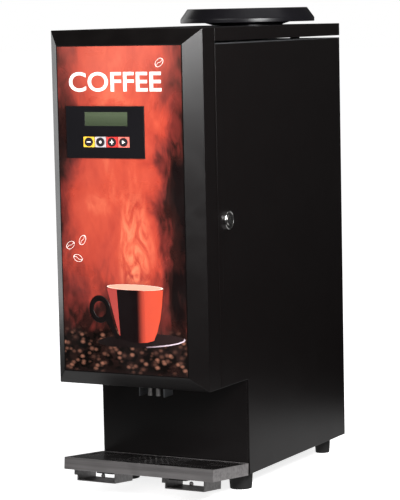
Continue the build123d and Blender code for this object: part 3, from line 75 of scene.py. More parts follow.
SAUCER_TURN = radians(4)
LIP_START, LIP_END = radians(-84), radians(88)
COFFEE_X, COFFEE_Z = 0.017, 0.2932
BEAN_LENGTH, BEAN_HEIGHT, BEAN_LINE = 0.0068, 0.0045, 0.0004
CREASE_WIDTH = 0.0005
WORD_LEFT, WORD_FOOT = -0.076, 0.551
WORD_WIDTH, WORD_HEIGHT = 0.140, 0.026
INK_GAP = 0.00001

BRACKET_SCREW_X, BRACKET_SCREW_SETBACK, BRACKET_SCREW_RADIUS = 0.0685, 0.02, 0.0032
REAR_SCREW_ROWS, REAR_SCREW_INSET, REAR_SCREW_RADIUS = 4, 0.006, 0.0034
REAR_SCREW_FOOT, REAR_SCREW_MARGINS = 0.03, 0.05

KEY_DISC = (0.0065, 0.0059)
KEY_DISC_DEPTH, KEY_SIGN_DEPTH, KEY_SIGN_SIZE = 0.0003, 0.00015, 0.003
LOCK_RING_RISE = 0.0005
KEYWAY_SIZE = (0.0003, 0.0014, 0.0072)


def linear(red, green, blue):
    """A colour given as red, green and blue from 0 to 255, as a linear colour with alpha."""
    steps = [c / 255 for c in (red, green, blue)]
    return tuple(c / 12.92 if c <= 0.04045 else ((c + 0.055) / 1.055) ** 2.4 for c in steps) + (1.0,)


class CoatingSettings(bpy.types.PropertyGroup):
    paint_colour: bpy.props.FloatVectorProperty(
        name="Paint", description="Colour of the black powder coat", subtype="COLOR", size=4,
        min=0.0, max=1.0, default=linear(8, 6, 6))
    paint_roughness: bpy.props.FloatProperty(
        name="Paint roughness", description="How dull the powder coat is", subtype="FACTOR",
        min=0.0, max=1.0, default=0.29)
    grain_height: bpy.props.FloatProperty(
        name="Grain height", description="Height of the powder coat's fine grain", unit="LENGTH",
        subtype="DISTANCE", default=0.00002)
    # Lightens the folded edges: partly rubbing, partly a painted edge highlight.
    wear_and_highlight: bpy.props.FloatProperty(
        name="Edge wear", description="How much the folded edges are rubbed", subtype="FACTOR",
        min=0.0, max=1.0, default=0.35)
    dust: bpy.props.FloatProperty(
        name="Dust", description="How much dust lies on faces that look up", subtype="FACTOR",
        min=0.0, max=1.0, default=0.02)
    fold_radius: bpy.props.FloatProperty(
        name="Fold radius", description="Softening of the folded sheet's edges", unit="LENGTH",
        subtype="DISTANCE", default=0.0006)


class PrintSettings(bpy.types.PropertyGroup):
    glow_colour: bpy.props.FloatVectorProperty(
        name="Glow", description="Brightest colour of the printed smoke", subtype="COLOR", size=4,
        min=0.0, max=1.0, default=linear(178, 80, 57))
    ember_colour: bpy.props.FloatVectorProperty(
        name="Ember", description="Middle colour of the printed smoke", subtype="COLOR", size=4,
        min=0.0, max=1.0, default=linear(150, 51, 37))
    shade_colour: bpy.props.FloatVectorProperty(
        name="Shade", description="Dark colour at the printed sheet's edges", subtype="COLOR", size=4,
        min=0.0, max=1.0, default=linear(38, 15, 12))
    bean_size: bpy.props.FloatProperty(
        name="Bean size", description="Length of a printed coffee bean", unit="LENGTH",
        subtype="DISTANCE", default=0.0095)
    inlay_thickness: bpy.props.FloatProperty(
        name="Ink thickness", description="How far the printed shapes stand out", unit="LENGTH",
        subtype="DISTANCE", default=0.00012)


class StageSettings(bpy.types.PropertyGroup):
    floor_colour: bpy.props.FloatVectorProperty(
        name="Floor", description="Colour of the pale floor", subtype="COLOR", size=4,
        min=0.0, max=1.0, default=(0.9, 0.9, 0.9, 1.0))
    front_power: bpy.props.FloatProperty(
        name="Front softbox", description="Power of the softbox in front", unit="POWER",
        subtype="POWER", default=36.0)
    right_power: bpy.props.FloatProperty(
        name="Right softbox", description="Power of the softbox at the right", unit="POWER",
        subtype="POWER", default=36.0)
    left_power: bpy.props.FloatProperty(
        name="Left card", description="Power of the white card at the left", unit="POWER",
        subtype="POWER", default=13.0)
    lens: bpy.props.FloatProperty(
        name="Lens", description="Focal length in millimetres", unit="CAMERA", default=159.7)


# ------------------------------------------------------------------ handling objects


def deselect():
    if bpy.context.mode != "OBJECT":
        bpy.ops.object.mode_set(mode="OBJECT")
    bpy.ops.object.select_all(action="DESELECT")


def pick(piece):
    deselect()
    piece.select_set(True)
    bpy.context.view_layer.objects.active = piece


def settle(piece):
    """Moves the piece's place, turn and scale into its mesh."""
    pick(piece)
    bpy.ops.object.transform_apply(location=True, rotation=True, scale=True)


def edit_all():
    bpy.ops.object.mode_set(mode="EDIT")
    bpy.ops.mesh.select_all(action="SELECT")


def leave_edit():
    bpy.ops.object.mode_set(mode="OBJECT")


def face_outwards():
    edit_all()
    bpy.ops.mesh.remove_doubles(threshold=0.000001)
    bpy.ops.mesh.normals_make_consistent(inside=False)
    leave_edit()


def round_edges(piece, width, angle=35.0):
    pick(piece)
    bevel = piece.modifiers.new("Fold", "BEVEL")
    bevel.width = width
    bevel.segments = BEVEL_SEGMENTS
    bevel.limit_method = "ANGLE"
    bevel.angle_limit = radians(angle)
    bevel.use_clamp_overlap = True
    bpy.ops.object.modifier_apply(modifier=bevel.name)
    bpy.ops.object.shade_smooth_by_angle(angle=radians(40.0))
    flat = piece.modifiers.new("Flat faces", "WEIGHTED_NORMAL")
    flat.keep_sharp = True
    bpy.ops.object.modifier_apply(modifier=flat.name)


def dress(piece, finish):
    piece.data.materials.clear()
    piece.data.materials.append(finish)


def join_machine(piece, name, body, finish):
    """Names a finished piece, gives it its finish and hangs it on its body."""
    piece.name = name
    piece.data.name = name
    dress(piece, finish)
    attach(piece, body)
    return piece


def node_size(node):
    low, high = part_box(node)
    return tuple(low), tuple(high)


def middle_of(node):
    low, high = node_size(node)
    return tuple((a + b) / 2 for a, b in zip(low, high))


def softened(node, width, finish, angle=35.0):
    """A copy of a frame node with merged faces and softened edges, which stands for that node."""
    source = frame["nodes"][node]
    body = source.parent.name.removeprefix("body:")
    pick(source)
    bpy.ops.object.duplicate()
    piece = bpy.context.object
    for key in [k for k in piece.keys() if k.startswith("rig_")]:
        del piece[key]
    edit_all()
    bpy.ops.mesh.remove_doubles(threshold=0.00001)
    bpy.ops.mesh.tris_convert_to_quads(face_threshold=radians(0.5), shape_threshold=radians(60.0))
    leave_edit()
    round_edges(piece, width, angle)
    join_machine(piece, node + "_finished", body, finish)
    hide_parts(node)
    return piece


def flat_shape(name, points, front, thickness):
    """A thin plate facing the front, with its outline given as x and z points in metres."""
    deselect()
    bpy.ops.mesh.primitive_plane_add(size=0.001)
    piece = bpy.context.object
    edit_all()
    bpy.ops.mesh.merge(type="CENTER")
    bpy.ops.transform.translate(value=(points[0][0], front, points[0][1]))
    for (x0, z0), (x1, z1) in zip(points, points[1:]):
        bpy.ops.mesh.extrude_vertices_move(TRANSFORM_OT_translate={"value": (x1 - x0, 0, z1 - z0)})
    bpy.ops.mesh.select_all(action="SELECT")
    bpy.ops.mesh.edge_face_add()
    bpy.ops.mesh.extrude_region_move(TRANSFORM_OT_translate={"value": (0, -thickness, 0)})
    face_outwards()
    piece.name = name
    return piece


def oval(centre_x, centre_z, half_x, half_z, turn=0.0, steps=40, start=0.0, sweep=2 * pi):
    """Points round an oval, or along part of one, turned by an angle."""
    closed = abs(sweep - 2 * pi) < 0.001
    count = steps if closed else steps + 1
    points = []
    for i in range(count):
        a = start + sweep * i / steps
        x, z = half_x * cos(a), half_z * sin(a)
        points.append((centre_x + x * cos(turn) - z * sin(turn), centre_z + x * sin(turn) + z * cos(turn)))
    return points


def oval_ring(name, centre_x, centre_z, half_x, half_z, line, front, thickness, turn=0.0):
    """A flat oval line made from a torus that is squeezed and turned."""
    deselect()
    bpy.ops.mesh.primitive_torus_add(
        major_segments=48, minor_segments=8, major_radius=1.0, minor_radius=line / max(half_x, half_z))
    piece = bpy.context.object
    piece.scale = (half_x, half_z, thickness * max(half_x, half_z) / line)
    settle(piece)
    piece.rotation_euler = (pi / 2, -turn, 0)
    piece.location = (centre_x, front, centre_z)
    settle(piece)
    piece.name = name
    bpy.ops.object.shade_smooth()
    return piece


def turned(name, profile, centre, axis, steps=64):
    """A round piece spun from a profile of distance from the axis and place along it."""
    deselect()
    bpy.ops.mesh.primitive_plane_add(size=0.001)
    piece = bpy.context.object
    edit_all()
    bpy.ops.mesh.merge(type="CENTER")

    def place(radius, along):
        if axis == "X":
            return (along, centre[1] + radius, centre[2])
        if axis == "Y":
            return (centre[0] + radius, along, centre[2])
        return (centre[0] + radius, centre[1], along)

    spots = [place(*p) for p in profile]
    bpy.ops.transform.translate(value=spots[0])
    for a, b in zip(spots, spots[1:]):
        step = tuple(q - p for p, q in zip(a, b))
        bpy.ops.mesh.extrude_vertices_move(TRANSFORM_OT_translate={"value": step})
    bpy.ops.mesh.select_all(action="SELECT")
    turn_axis = {"X": (1, 0, 0), "Y": (0, 1, 0), "Z": (0, 0, 1)}[axis]
    bpy.ops.mesh.spin(steps=steps, angle=2 * pi, center=centre, axis=turn_axis)
    face_outwards()
    piece.name = name
    bpy.ops.object.shade_smooth_by_angle(angle=radians(35.0))
    return piece


# ------------------------------------------------------------------ shared surface effects


def new_group(name, inputs, outputs):
    group = bpy.data.node_groups.new(name, "ShaderNodeTree")
    for label, kind, value in inputs:
        socket = group.interface.new_socket(name=label, in_out="INPUT", socket_type=kind)
        socket.default_value = value
    for label, kind in outputs:
        group.interface.new_socket(name=label, in_out="OUTPUT", socket_type=kind)
    return group, group.nodes.new("NodeGroupInput"), group.nodes.new("NodeGroupOutput")


def put(tree, kind, **settings):
    node = tree.nodes.new(kind)
    for key, value in settings.items():
        setattr(node, key, value)
    return node


def maths(tree, operation, first, second=None, clamp=False):
    """A Math node whose inputs are sockets or plain numbers."""
    node = put(tree, "ShaderNodeMath", operation=operation, use_clamp=clamp)
    for index, value in enumerate((first, second)):
        if value is None:
            continue
        if isinstance(value, (int, float)):
            node.inputs[index].default_value = value
        else:
            tree.links.new(value, node.inputs[index])
    return node.outputs[0]


def spread(tree, value, low, high, to_low=0.0, to_high=1.0):
    node = put(tree, "ShaderNodeMapRange", interpolation_type="SMOOTHSTEP")
    tree.links.new(value, node.inputs["Value"])
    node.inputs["From Min"].default_value = low
    node.inputs["From Max"].default_value = high
    node.inputs["To Min"].default_value = to_low
    node.inputs["To Max"].default_value = to_high
    return node.outputs["Result"]


def blend(tree, factor, first, second):
    """A colour mix whose inputs are sockets or colours."""
    node = put(tree, "ShaderNodeMix", data_type="RGBA", blend_type="MIX")
    for socket, value in ((node.inputs[0], factor), (node.inputs[6], first), (node.inputs[7], second)):
        if isinstance(value, bpy.types.NodeSocket):
            tree.links.new(value, socket)
        else:
            socket.default_value = value
    return node.outputs[2]


def noise(tree, vector, scale, detail=3.0, distortion=0.0):
    node = put(tree, "ShaderNodeTexNoise")
    tree.links.new(vector, node.inputs["Vector"])
    if isinstance(scale, bpy.types.NodeSocket):
        tree.links.new(scale, node.inputs["Scale"])
    else:
        node.inputs["Scale"].default_value = scale
    node.inputs["Detail"].default_value = detail
    node.inputs["Distortion"].default_value = distortion
    return node.outputs["Fac"]


def stretched(tree, vector, scale):
    node = put(tree, "ShaderNodeMapping")
    node.inputs["Scale"].default_value = scale
    tree.links.new(vector, node.inputs["Vector"])
    return node.outputs["Vector"]


def make_edge_wear_and_highlight():
    group, entry, leave = new_group(
        "Edge wear",
        [("Radius", "NodeSocketFloat", 0.0012), ("Patch scale", "NodeSocketFloat", 60.0),
         ("Amount", "NodeSocketFloat", 0.5)],
        [("Mask", "NodeSocketFloat")])
    # Patchy mask of rounded edges: it lightens them as rubbing and also as a painted edge highlight.
    soft = put(group, "ShaderNodeBevel", samples=4)
    group.links.new(entry.outputs["Radius"], soft.inputs["Radius"])
    true = put(group, "ShaderNodeNewGeometry")
    dot = put(group, "ShaderNodeVectorMath", operation="DOT_PRODUCT")
    group.links.new(soft.outputs["Normal"], dot.inputs[0])
    group.links.new(true.outputs["Normal"], dot.inputs[1])
    edge = spread(group, maths(group, "SUBTRACT", 1.0, dot.outputs["Value"]), 0.02, 0.2)
    place = put(group, "ShaderNodeTexCoord")
    patch = spread(group, noise(group, place.outputs["Object"], entry.outputs["Patch scale"], 5.0), 0.4, 0.65)
    mask = maths(group, "MULTIPLY", maths(group, "MULTIPLY", edge, patch), entry.outputs["Amount"], True)
    group.links.new(mask, leave.inputs["Mask"])
    return group


def make_grain():
    group, entry, leave = new_group(
        "Powder grain",
        [("Scale", "NodeSocketFloat", 1400.0)],
        [("Height", "NodeSocketFloat"), ("Mottle", "NodeSocketFloat")])
    place = put(group, "ShaderNodeTexCoord").outputs["Object"]
    fine = noise(group, place, entry.outputs["Scale"], 2.0)
    broad = noise(group, place, maths(group, "MULTIPLY", entry.outputs["Scale"], 0.02), 4.0)
    group.links.new(fine, leave.inputs["Height"])
    group.links.new(broad, leave.inputs["Mottle"])
    return group


def make_brushing():
    group, entry, leave = new_group(
        "Brushed lines", [("Fineness", "NodeSocketFloat", 1.0)],
        [("Lines", "NodeSocketFloat"), ("Streaks", "NodeSocketFloat")])
    place = put(group, "ShaderNodeTexCoord").outputs["Object"]
    fine = noise(group, stretched(group, place, (14.0, 2200.0, 2200.0)), entry.outputs["Fineness"], 3.0)
    wide = noise(group, stretched(group, place, (3.0, 240.0, 240.0)), entry.outputs["Fineness"], 2.0)
    group.links.new(fine, leave.inputs["Lines"])
    group.links.new(wide, leave.inputs["Streaks"])
    return group


def make_dust():
    group, entry, leave = new_group(
        "Settled dust",
        [("Amount", "NodeSocketFloat", 0.1), ("Patch scale", "NodeSocketFloat", 30.0)],
        [("Mask", "NodeSocketFloat")])
    normal = put(group, "ShaderNodeNewGeometry").outputs["Normal"]
    parts = put(group, "ShaderNodeSeparateXYZ")
    group.links.new(normal, parts.inputs[0])
    upward = spread(group, parts.outputs["Z"], 0.55, 0.98)
    place = put(group, "ShaderNodeTexCoord").outputs["Object"]
    patch = spread(group, noise(group, place, entry.outputs["Patch scale"], 6.0), 0.3, 0.75)
    mask = maths(group, "MULTIPLY", maths(group, "MULTIPLY", upward, patch), entry.outputs["Amount"], True)
    group.links.new(mask, leave.inputs["Mask"])
    return group


def make_smudges():
    group, entry, leave = new_group(
        "Handling smudges", [("Scale", "NodeSocketFloat", 22.0)], [("Mask", "NodeSocketFloat")])
    place = put(group, "ShaderNodeTexCoord").outputs["Object"]
    marks = spread(group, noise(group, place, entry.outputs["Scale"], 5.0, 0.8), 0.35, 0.7)
    group.links.new(marks, leave.inputs["Mask"])
    return group


GROUP_MAKERS = {
    "Edge wear": make_edge_wear_and_highlight,
    "Powder grain": make_grain,
    "Brushed lines": make_brushing,
    "Settled dust": make_dust,
    "Handling smudges": make_smudges,
}


def effect(tree, name, **values):
    """Places a shared effect in a material, making it the first time."""
    group = bpy.data.node_groups.get(name) or GROUP_MAKERS[name]()
    node = put(tree, "ShaderNodeGroup", node_tree=group)
    for label, value in values.items():
        node.inputs[label.replace("_", " ").capitalize()].default_value = value
    return node.outputs


FINISHES = {}


def new_finish(name):
    finish = bpy.data.materials.new("machine_" + name)
    FINISHES[name] = finish
    finish.use_nodes = True
    return finish, finish.node_tree, finish.node_tree.nodes["Principled BSDF"]


def raise_surface(tree, shader, height, distance):
    bump = put(tree, "ShaderNodeBump")
    bump.inputs["Distance"].default_value = distance
    bump.inputs["Strength"].default_value = 1.0
    tree.links.new(height, bump.inputs["Height"])
    tree.links.new(bump.outputs["Normal"], shader.inputs["Normal"])


def coated(name, colour, roughness, grain=1400.0, height=0.00002, wear_and_highlight=0.3, dust=0.05,
           specular=0.5):
    """Paint, moulded plastic or rubber: grain, mottled colour, rubbed edges with a painted edge highlight,
    smudges and dust.
    """
    if name in FINISHES:
        return FINISHES[name]
    finish, tree, shader = new_finish(name)
    surface = effect(tree, "Powder grain", scale=grain)
    lighter = tuple(min(c * 1.12, 1.0) for c in colour[:3]) + (1.0,)
    tint = blend(tree, spread(tree, surface["Mottle"], 0.3, 0.7), colour, lighter)
    # Edges turn lighter, partly as rubbing and partly as a painted edge highlight.
    worn_and_lit = effect(tree, "Edge wear", radius=WEAR_AND_HIGHLIGHT_RADIUS, amount=wear_and_highlight)["Mask"]
    tint = blend(tree, worn_and_lit, tint, tuple(min(c * 3 + 0.02, 1.0) for c in colour[:3]) + (1.0,))
    settled = effect(tree, "Settled dust", amount=dust)["Mask"]
    tint = blend(tree, settled, tint, linear(150, 145, 138))
    tree.links.new(tint, shader.inputs["Base Color"])
    smudge = effect(tree, "Handling smudges")["Mask"]
    rough = spread(tree, smudge, 0.0, 1.0, max(roughness - 0.015, 0.03), roughness + 0.02)
    rough = maths(tree, "ADD", rough, maths(tree, "MULTIPLY", settled, 0.4), True)
    tree.links.new(rough, shader.inputs["Roughness"])
    shader.inputs["Specular IOR Level"].default_value = specular
    raise_surface(tree, shader, surface["Height"], height)
    return finish


def metal(name, colour, roughness, height=0.000008, brushed=True):
    """Bare metal with brushed lines or fine grain and uneven polish."""
    if name in FINISHES:
        return FINISHES[name]
    finish, tree, shader = new_finish(name)
    shader.inputs["Metallic"].default_value = 1.0
    if brushed:
        lines = effect(tree, "Brushed lines")
        fine, broad = lines["Lines"], lines["Streaks"]
    else:
        grain = effect(tree, "Powder grain", scale=900.0)
        fine, broad = grain["Height"], grain["Mottle"]
    darker = tuple(c * 0.72 for c in colour[:3]) + (1.0,)
    tint = blend(tree, spread(tree, broad, 0.3, 0.7), darker, colour)
    # Edges turn lighter, partly as rubbing and partly as a painted edge highlight.
    worn_and_lit = effect(tree, "Edge wear", radius=0.0008, amount=0.5)["Mask"]
    tint = blend(tree, worn_and_lit, tint, tuple(min(c * 1.2, 1.0) for c in colour[:3]) + (1.0,))
    tree.links.new(tint, shader.inputs["Base Color"])
    smudge = effect(tree, "Handling smudges")["Mask"]
    rough = maths(tree, "ADD", spread(tree, fine, 0.2, 0.8, roughness - 0.06, roughness + 0.08),
                  maths(tree, "MULTIPLY", smudge, 0.06), True)
    tree.links.new(rough, shader.inputs["Roughness"])
    raise_surface(tree, shader, fine, height)
    return finish


def clear(name, colour, roughness=0.12):
    """Clear moulded plastic, hazed unevenly by powder."""
    if name in FINISHES:
        return FINISHES[name]
    finish, tree, shader = new_finish(name)
    shader.inputs["Transmission Weight"].default_value = 0.85
    shader.inputs["IOR"].default_value = 1.49
    smudge = effect(tree, "Handling smudges", scale=35.0)["Mask"]
    tree.links.new(spread(tree, smudge, 0.0, 1.0, roughness, roughness + 0.25), shader.inputs["Roughness"])
    tree.links.new(blend(tree, smudge, colour, linear(226, 222, 214)), shader.inputs["Base Color"])
    return finish


def black_coat():
    settings = bpy.context.scene.machine_coating
    return coated("black_coat", tuple(settings.paint_colour), settings.paint_roughness,
                  height=settings.grain_height, wear_and_highlight=settings.wear_and_highlight, dust=settings.dust, specular=0.2)


def finish_for(slot):
    """The finish that belongs to a material slot of the record."""
    makers = {
        "black_coat": black_coat,
        "galvanised": lambda: metal("galvanised", linear(150, 152, 155), 0.42, brushed=False),
        "stainless": lambda: metal("stainless", linear(196, 192, 190), 0.3),
        "chromed": lambda: metal("chromed", linear(214, 212, 210), 0.14, 0.000003, False),
        "print": printed_sheet,
        "black_plastic": lambda: coated("black_plastic", linear(13, 12, 15), 0.32, 900.0, 0.000015, 0.2,
                                        specular=0.3),
        "lcd": display_glass,
        "circuit_board": lambda: coated("circuit_board", linear(22, 84, 48), 0.4, 700.0, 0.00004, 0.1),
        "key_yellow": lambda: coated("key_yellow", linear(216, 168, 48), 0.38, 1200.0, 0.00001, 0.1),
        "key_grey": lambda: coated("key_grey", linear(168, 162, 164), 0.38, 1200.0, 0.00001, 0.1),
        "key_red": lambda: coated("key_red", linear(196, 44, 40), 0.38, 1200.0, 0.00001, 0.1),
        "key_salmon": lambda: coated("key_salmon", linear(214, 104, 92), 0.38, 1200.0, 0.00001, 0.1),
        "rubber_black": lambda: coated("rubber_black", linear(20, 19, 19), 0.75, 500.0, 0.00006, 0.1,
                                       dust=0.25, specular=0.3),
        "clear_plastic": lambda: clear("clear_plastic", linear(238, 240, 240)),
        "white_plastic": lambda: coated("white_plastic", linear(186, 184, 178), 0.4, 700.0, 0.00002, 0.1),
        "motor_case": lambda: metal("motor_case", linear(120, 120, 122), 0.45, brushed=False),
        "foam": lambda: coated("foam", linear(46, 46, 48), 0.9, 260.0, 0.0003, 0.05, specular=0.2),
        "silicone": lambda: clear("silicone", linear(232, 226, 216), 0.35),
        "rocker_red": lambda: coated("rocker_red", linear(176, 26, 22), 0.3, 900.0, 0.00001, 0.1),
    }
    return FINISHES.get(slot) or makers[slot]()


# ------------------------------------------------------------------ printed sheet and display


def printed_sheet():
    """Smoke that rises from a heap of coffee beans, printed on the door's sheet."""
    ink = bpy.context.scene.machine_print
    finish, tree, shader = new_finish("print")
    place = put(tree, "ShaderNodeTexCoord").outputs["Object"]
    parts = put(tree, "ShaderNodeSeparateXYZ")
    tree.links.new(place, parts.inputs[0])
    across, height = parts.outputs["X"], parts.outputs["Z"]

    drift = noise(tree, stretched(tree, place, (9.0, 1.0, 5.0)), 1.0, 4.0)
    shift = maths(tree, "MULTIPLY", maths(tree, "SUBTRACT", drift, 0.5), 0.11)
    bent = maths(tree, "ABSOLUTE", maths(tree, "ADD", maths(tree, "SUBTRACT", across, 0.006), shift))
    centre = spread(tree, bent, 0.03, 0.118, 1.0, 0.0)
    rise = spread(tree, height, 0.235, 0.36)
    cloud = noise(tree, stretched(tree, place, (19.0, 1.0, 11.0)), 1.0, 9.0, 1.1)
    wisps = noise(tree, stretched(tree, place, (58.0, 1.0, 24.0)), 1.0, 6.0, 2.0)
    smoke = maths(tree, "ADD", maths(tree, "MULTIPLY", maths(tree, "SUBTRACT", cloud, 0.5), 0.95),
                  maths(tree, "MULTIPLY", maths(tree, "SUBTRACT", wisps, 0.5), 0.3))
    glow = maths(tree, "MULTIPLY", centre, maths(tree, "ADD", maths(tree, "MULTIPLY", rise, 0.62), 0.16))
    side = put(tree, "ShaderNodeVectorMath", operation="DISTANCE")
    tree.links.new(stretched(tree, place, (1.0, 0.0, 0.42)), side.inputs[0])
    side.inputs[1].default_value = (0.092, 0.0, 0.158)
    bush = spread(tree, maths(tree, "ADD", side.outputs["Value"], maths(tree, "MULTIPLY", smoke, 0.06)),
                  0.016, 0.062, 0.3, 0.0)
    glow = maths(tree, "ADD", maths(tree, "ADD", glow, smoke), 0.07)
    glow = maths(tree, "SUBTRACT", glow, bush, True)

    ramp = put(tree, "ShaderNodeValToRGB")
    stops = ramp.color_ramp.elements
    stops[0].position, stops[0].color = 0.0, linear(14, 6, 6)
    stops[1].position, stops[1].color = 1.0, tuple(ink.glow_colour)
    for spot, colour in ((0.2, tuple(ink.shade_colour)), (0.42, linear(98, 33, 28)),
                         (0.66, tuple(ink.ember_colour)), (0.86, linear(165, 62, 44))):
        stop = stops.new(spot)
        stop.color = colour
    tree.links.new(glow, ramp.inputs["Fac"])
    paler = maths(tree, "MULTIPLY", spread(tree, height, 0.5, 0.6), centre)
    picture = blend(tree, maths(tree, "MULTIPLY", paler, 0.16), ramp.outputs["Color"], linear(196, 122, 106))
    column = maths(tree, "ABSOLUTE", maths(tree, "SUBTRACT", across, 0.018))
    fading = spread(tree, height, 0.35, 0.44, 1.0, 0.0)
    steam = maths(tree, "MULTIPLY", spread(tree, column, 0.004, 0.03, 1.0, 0.0),
                  maths(tree, "MULTIPLY", spread(tree, height, 0.29, 0.31), fading))
    picture = blend(tree, maths(tree, "MULTIPLY", steam, spread(tree, wisps, 0.35, 0.7)), picture,
                    linear(208, 112, 80))

    size = 1.0 / ink.bean_size
    heap = put(tree, "ShaderNodeTexVoronoi", feature="F1")
    tree.links.new(stretched(tree, place, (size, 0.0, size * 1.35)), heap.inputs["Vector"])
    heap.inputs["Scale"].default_value = 1.0
    shade = put(tree, "ShaderNodeSeparateXYZ")
    tree.links.new(heap.outputs["Color"], shade.inputs[0])
    bean = blend(tree, spread(tree, heap.outputs["Distance"], 0.05, 0.55), linear(118, 76, 60),
                 linear(7, 4, 3))
    bean = blend(tree, spread(tree, shade.outputs["X"], 0.25, 0.95, 0.0, 0.8), bean, linear(30, 15, 12))
    edge = maths(tree, "ADD", height, maths(tree, "MULTIPLY", maths(tree, "SUBTRACT", cloud, 0.5), 0.03))
    pile = spread(tree, edge, 0.228, 0.24, 1.0, 0.0)
    low = spread(tree, height, 0.176, 0.186)
    picture = blend(tree, pile, picture, blend(tree, low, linear(20, 11, 10), bean))
    tree.links.new(picture, shader.inputs["Base Color"])
    smudge = effect(tree, "Handling smudges", scale=14.0)["Mask"]
    tree.links.new(spread(tree, smudge, 0.0, 1.0, 0.26, 0.4), shader.inputs["Roughness"])
    shader.inputs["Specular IOR Level"].default_value = 0.3
    raise_surface(tree, shader, effect(tree, "Powder grain", scale=1800.0)["Height"], 0.000004)
    return finish


def display_glass():
    """Grey-green display with two rows of faint character cells."""
    finish, tree, shader = new_finish("lcd")
    place = put(tree, "ShaderNodeTexCoord").outputs["Object"]
    parts = put(tree, "ShaderNodeSeparateXYZ")
    tree.links.new(place, parts.inputs[0])
    low, high = node_size("lcd_window")
    cell = (high[0] - low[0]) / 17
    columns = maths(tree, "PINGPONG", parts.outputs["X"], cell / 2)
    rows = maths(tree, "PINGPONG", parts.outputs["Z"], cell * 0.95)
    cells = maths(tree, "MULTIPLY", spread(tree, columns, cell * 0.08, cell * 0.14),
                  spread(tree, rows, cell * 0.2, cell * 0.28))
    tone = blend(tree, spread(tree, parts.outputs["Z"], low[2], high[2]), linear(52, 60, 44),
                 linear(68, 77, 59))
    tone = blend(tree, maths(tree, "MULTIPLY", cells, 0.16), tone, linear(48, 56, 44))
    tree.links.new(tone, shader.inputs["Base Color"])
    smudge = effect(tree, "Handling smudges", scale=60.0)["Mask"]
    tree.links.new(spread(tree, smudge, 0.0, 1.0, 0.12, 0.22), shader.inputs["Roughness"])
    return finish


def ink_finish(name, colour, second=None, along=None):
    """Printed ink, with a colour that may change from left to right between two places in metres."""
    if name in FINISHES:
        return FINISHES[name]
    finish, tree, shader = new_finish(name)
    grain = effect(tree, "Powder grain", scale=1500.0)
    base = colour
    if second:
        parts = put(tree, "ShaderNodeSeparateXYZ")
        tree.links.new(put(tree, "ShaderNodeTexCoord").outputs["Object"], parts.inputs[0])
        base = blend(tree, spread(tree, parts.outputs["X"], along[0], along[1]), colour, second)
    darker = tuple(c * 0.85 for c in colour[:3]) + (1.0,)
    tree.links.new(blend(tree, maths(tree, "MULTIPLY", grain["Mottle"], 0.25), base, darker),
                   shader.inputs["Base Color"])
    tree.links.new(spread(tree, grain["Mottle"], 0.3, 0.7, 0.3, 0.42), shader.inputs["Roughness"])
    shader.inputs["Specular IOR Level"].default_value = 0.3
    return finish


# ------------------------------------------------------------------ operators


class MACHINE_OT_cabinet(bpy.types.Operator):
    """Coat and soften the cabinet's folded panels and its top cover"""
    bl_idname = "machine.cabinet"
    bl_label = "Cabinet panels"

    def execute(self, context):
        fold = context.scene.machine_coating.fold_radius
        for node in ("side_panel_left", "side_panel_right", "top_cover", "base_pan", "lower_front_panel"):
            softened(node, fold, finish_for("black_coat"))
        return {"FINISHED"}


class MACHINE_OT_door(bpy.types.Operator):
    """Coat and soften the door's shell with its sloping border"""
    bl_idname = "machine.door"
    bl_label = "Door shell"

    def execute(self, context):
        fold = context.scene.machine_coating.fold_radius
        softened("door_shell", fold, finish_for("black_coat"))
        return {"FINISHED"}


class MACHINE_OT_filler(bpy.types.Operator):
    """Soften the water filler's funnel ring and its cap"""
    bl_idname = "machine.filler"
    bl_label = "Water filler"

    def execute(self, context):
        for node in ("filler_funnel", "filler_cap"):
            softened(node, 0.0009, finish_for("black_plastic"), 30.0)
        return {"FINISHED"}


class MACHINE_OT_tray(bpy.types.Operator):
    """Give the drip tray its brushed steel and its brackets their screws"""
    bl_idname = "machine.tray"
    bl_label = "Drip tray"

    def execute(self, context):
        softened("tray_pan", 0.0004, metal("tray_steel", linear(164, 160, 160), 0.36))
        # The brackets take a darker copy of the tray's steel: painted shade for their place under the tray.
        softened("tray_brackets", 0.0004, metal("bracket_steel", linear(120, 118, 118), 0.35))
        low, high = node_size("tray_brackets")
        depth = low[1] + BRACKET_SCREW_SETBACK
        for number, side in enumerate((-1, 1)):
            place = (side * BRACKET_SCREW_X, depth, (low[2] + high[2]) / 2)
            screw_head(f"bracket_screw_{number + 1}", place, "Y", -1, BRACKET_SCREW_RADIUS, "tray", "stainless")
        return {"FINISHED"}


def screw_head(name, place, axis, way, radius, body, slot):
    """A domed screw head with a socket in it, facing along an axis."""
    at = {"X": 0, "Y": 1, "Z": 2}[axis]
    base = place[at]
    profile = [(0.0, 0.0006), (0.42, 0.0006), (0.46, 0.0012), (0.7, 0.00118), (0.92, 0.0008), (1.0, 0.0)]
    spun = [(radius * r, base + way * up) for r, up in profile]
    spun.append((0.0, base))
    piece = turned(name, spun, place, axis, 20)
    return join_machine(piece, name, body, finish_for(slot))


class MACHINE_OT_fasteners(bpy.types.Operator):
    """Place the rear panel's screws"""
    bl_idname = "machine.fasteners"
    bl_label = "Rear screws"

    def execute(self, context):
        low, high = node_size("rear_panel")
        pitch = (high[2] - low[2] - REAR_SCREW_MARGINS) / (REAR_SCREW_ROWS - 1)
        heights = [low[2] + REAR_SCREW_FOOT + i * pitch for i in range(REAR_SCREW_ROWS)]
        count = 0
        for x in (low[0] + REAR_SCREW_INSET, high[0] - REAR_SCREW_INSET):
            for z in heights:
                count += 1
                place = (x, high[1], z)
                screw_head(f"rear_screw_{count}", place, "Y", 1, REAR_SCREW_RADIUS, "cabinet", "chromed")
        return {"FINISHED"}


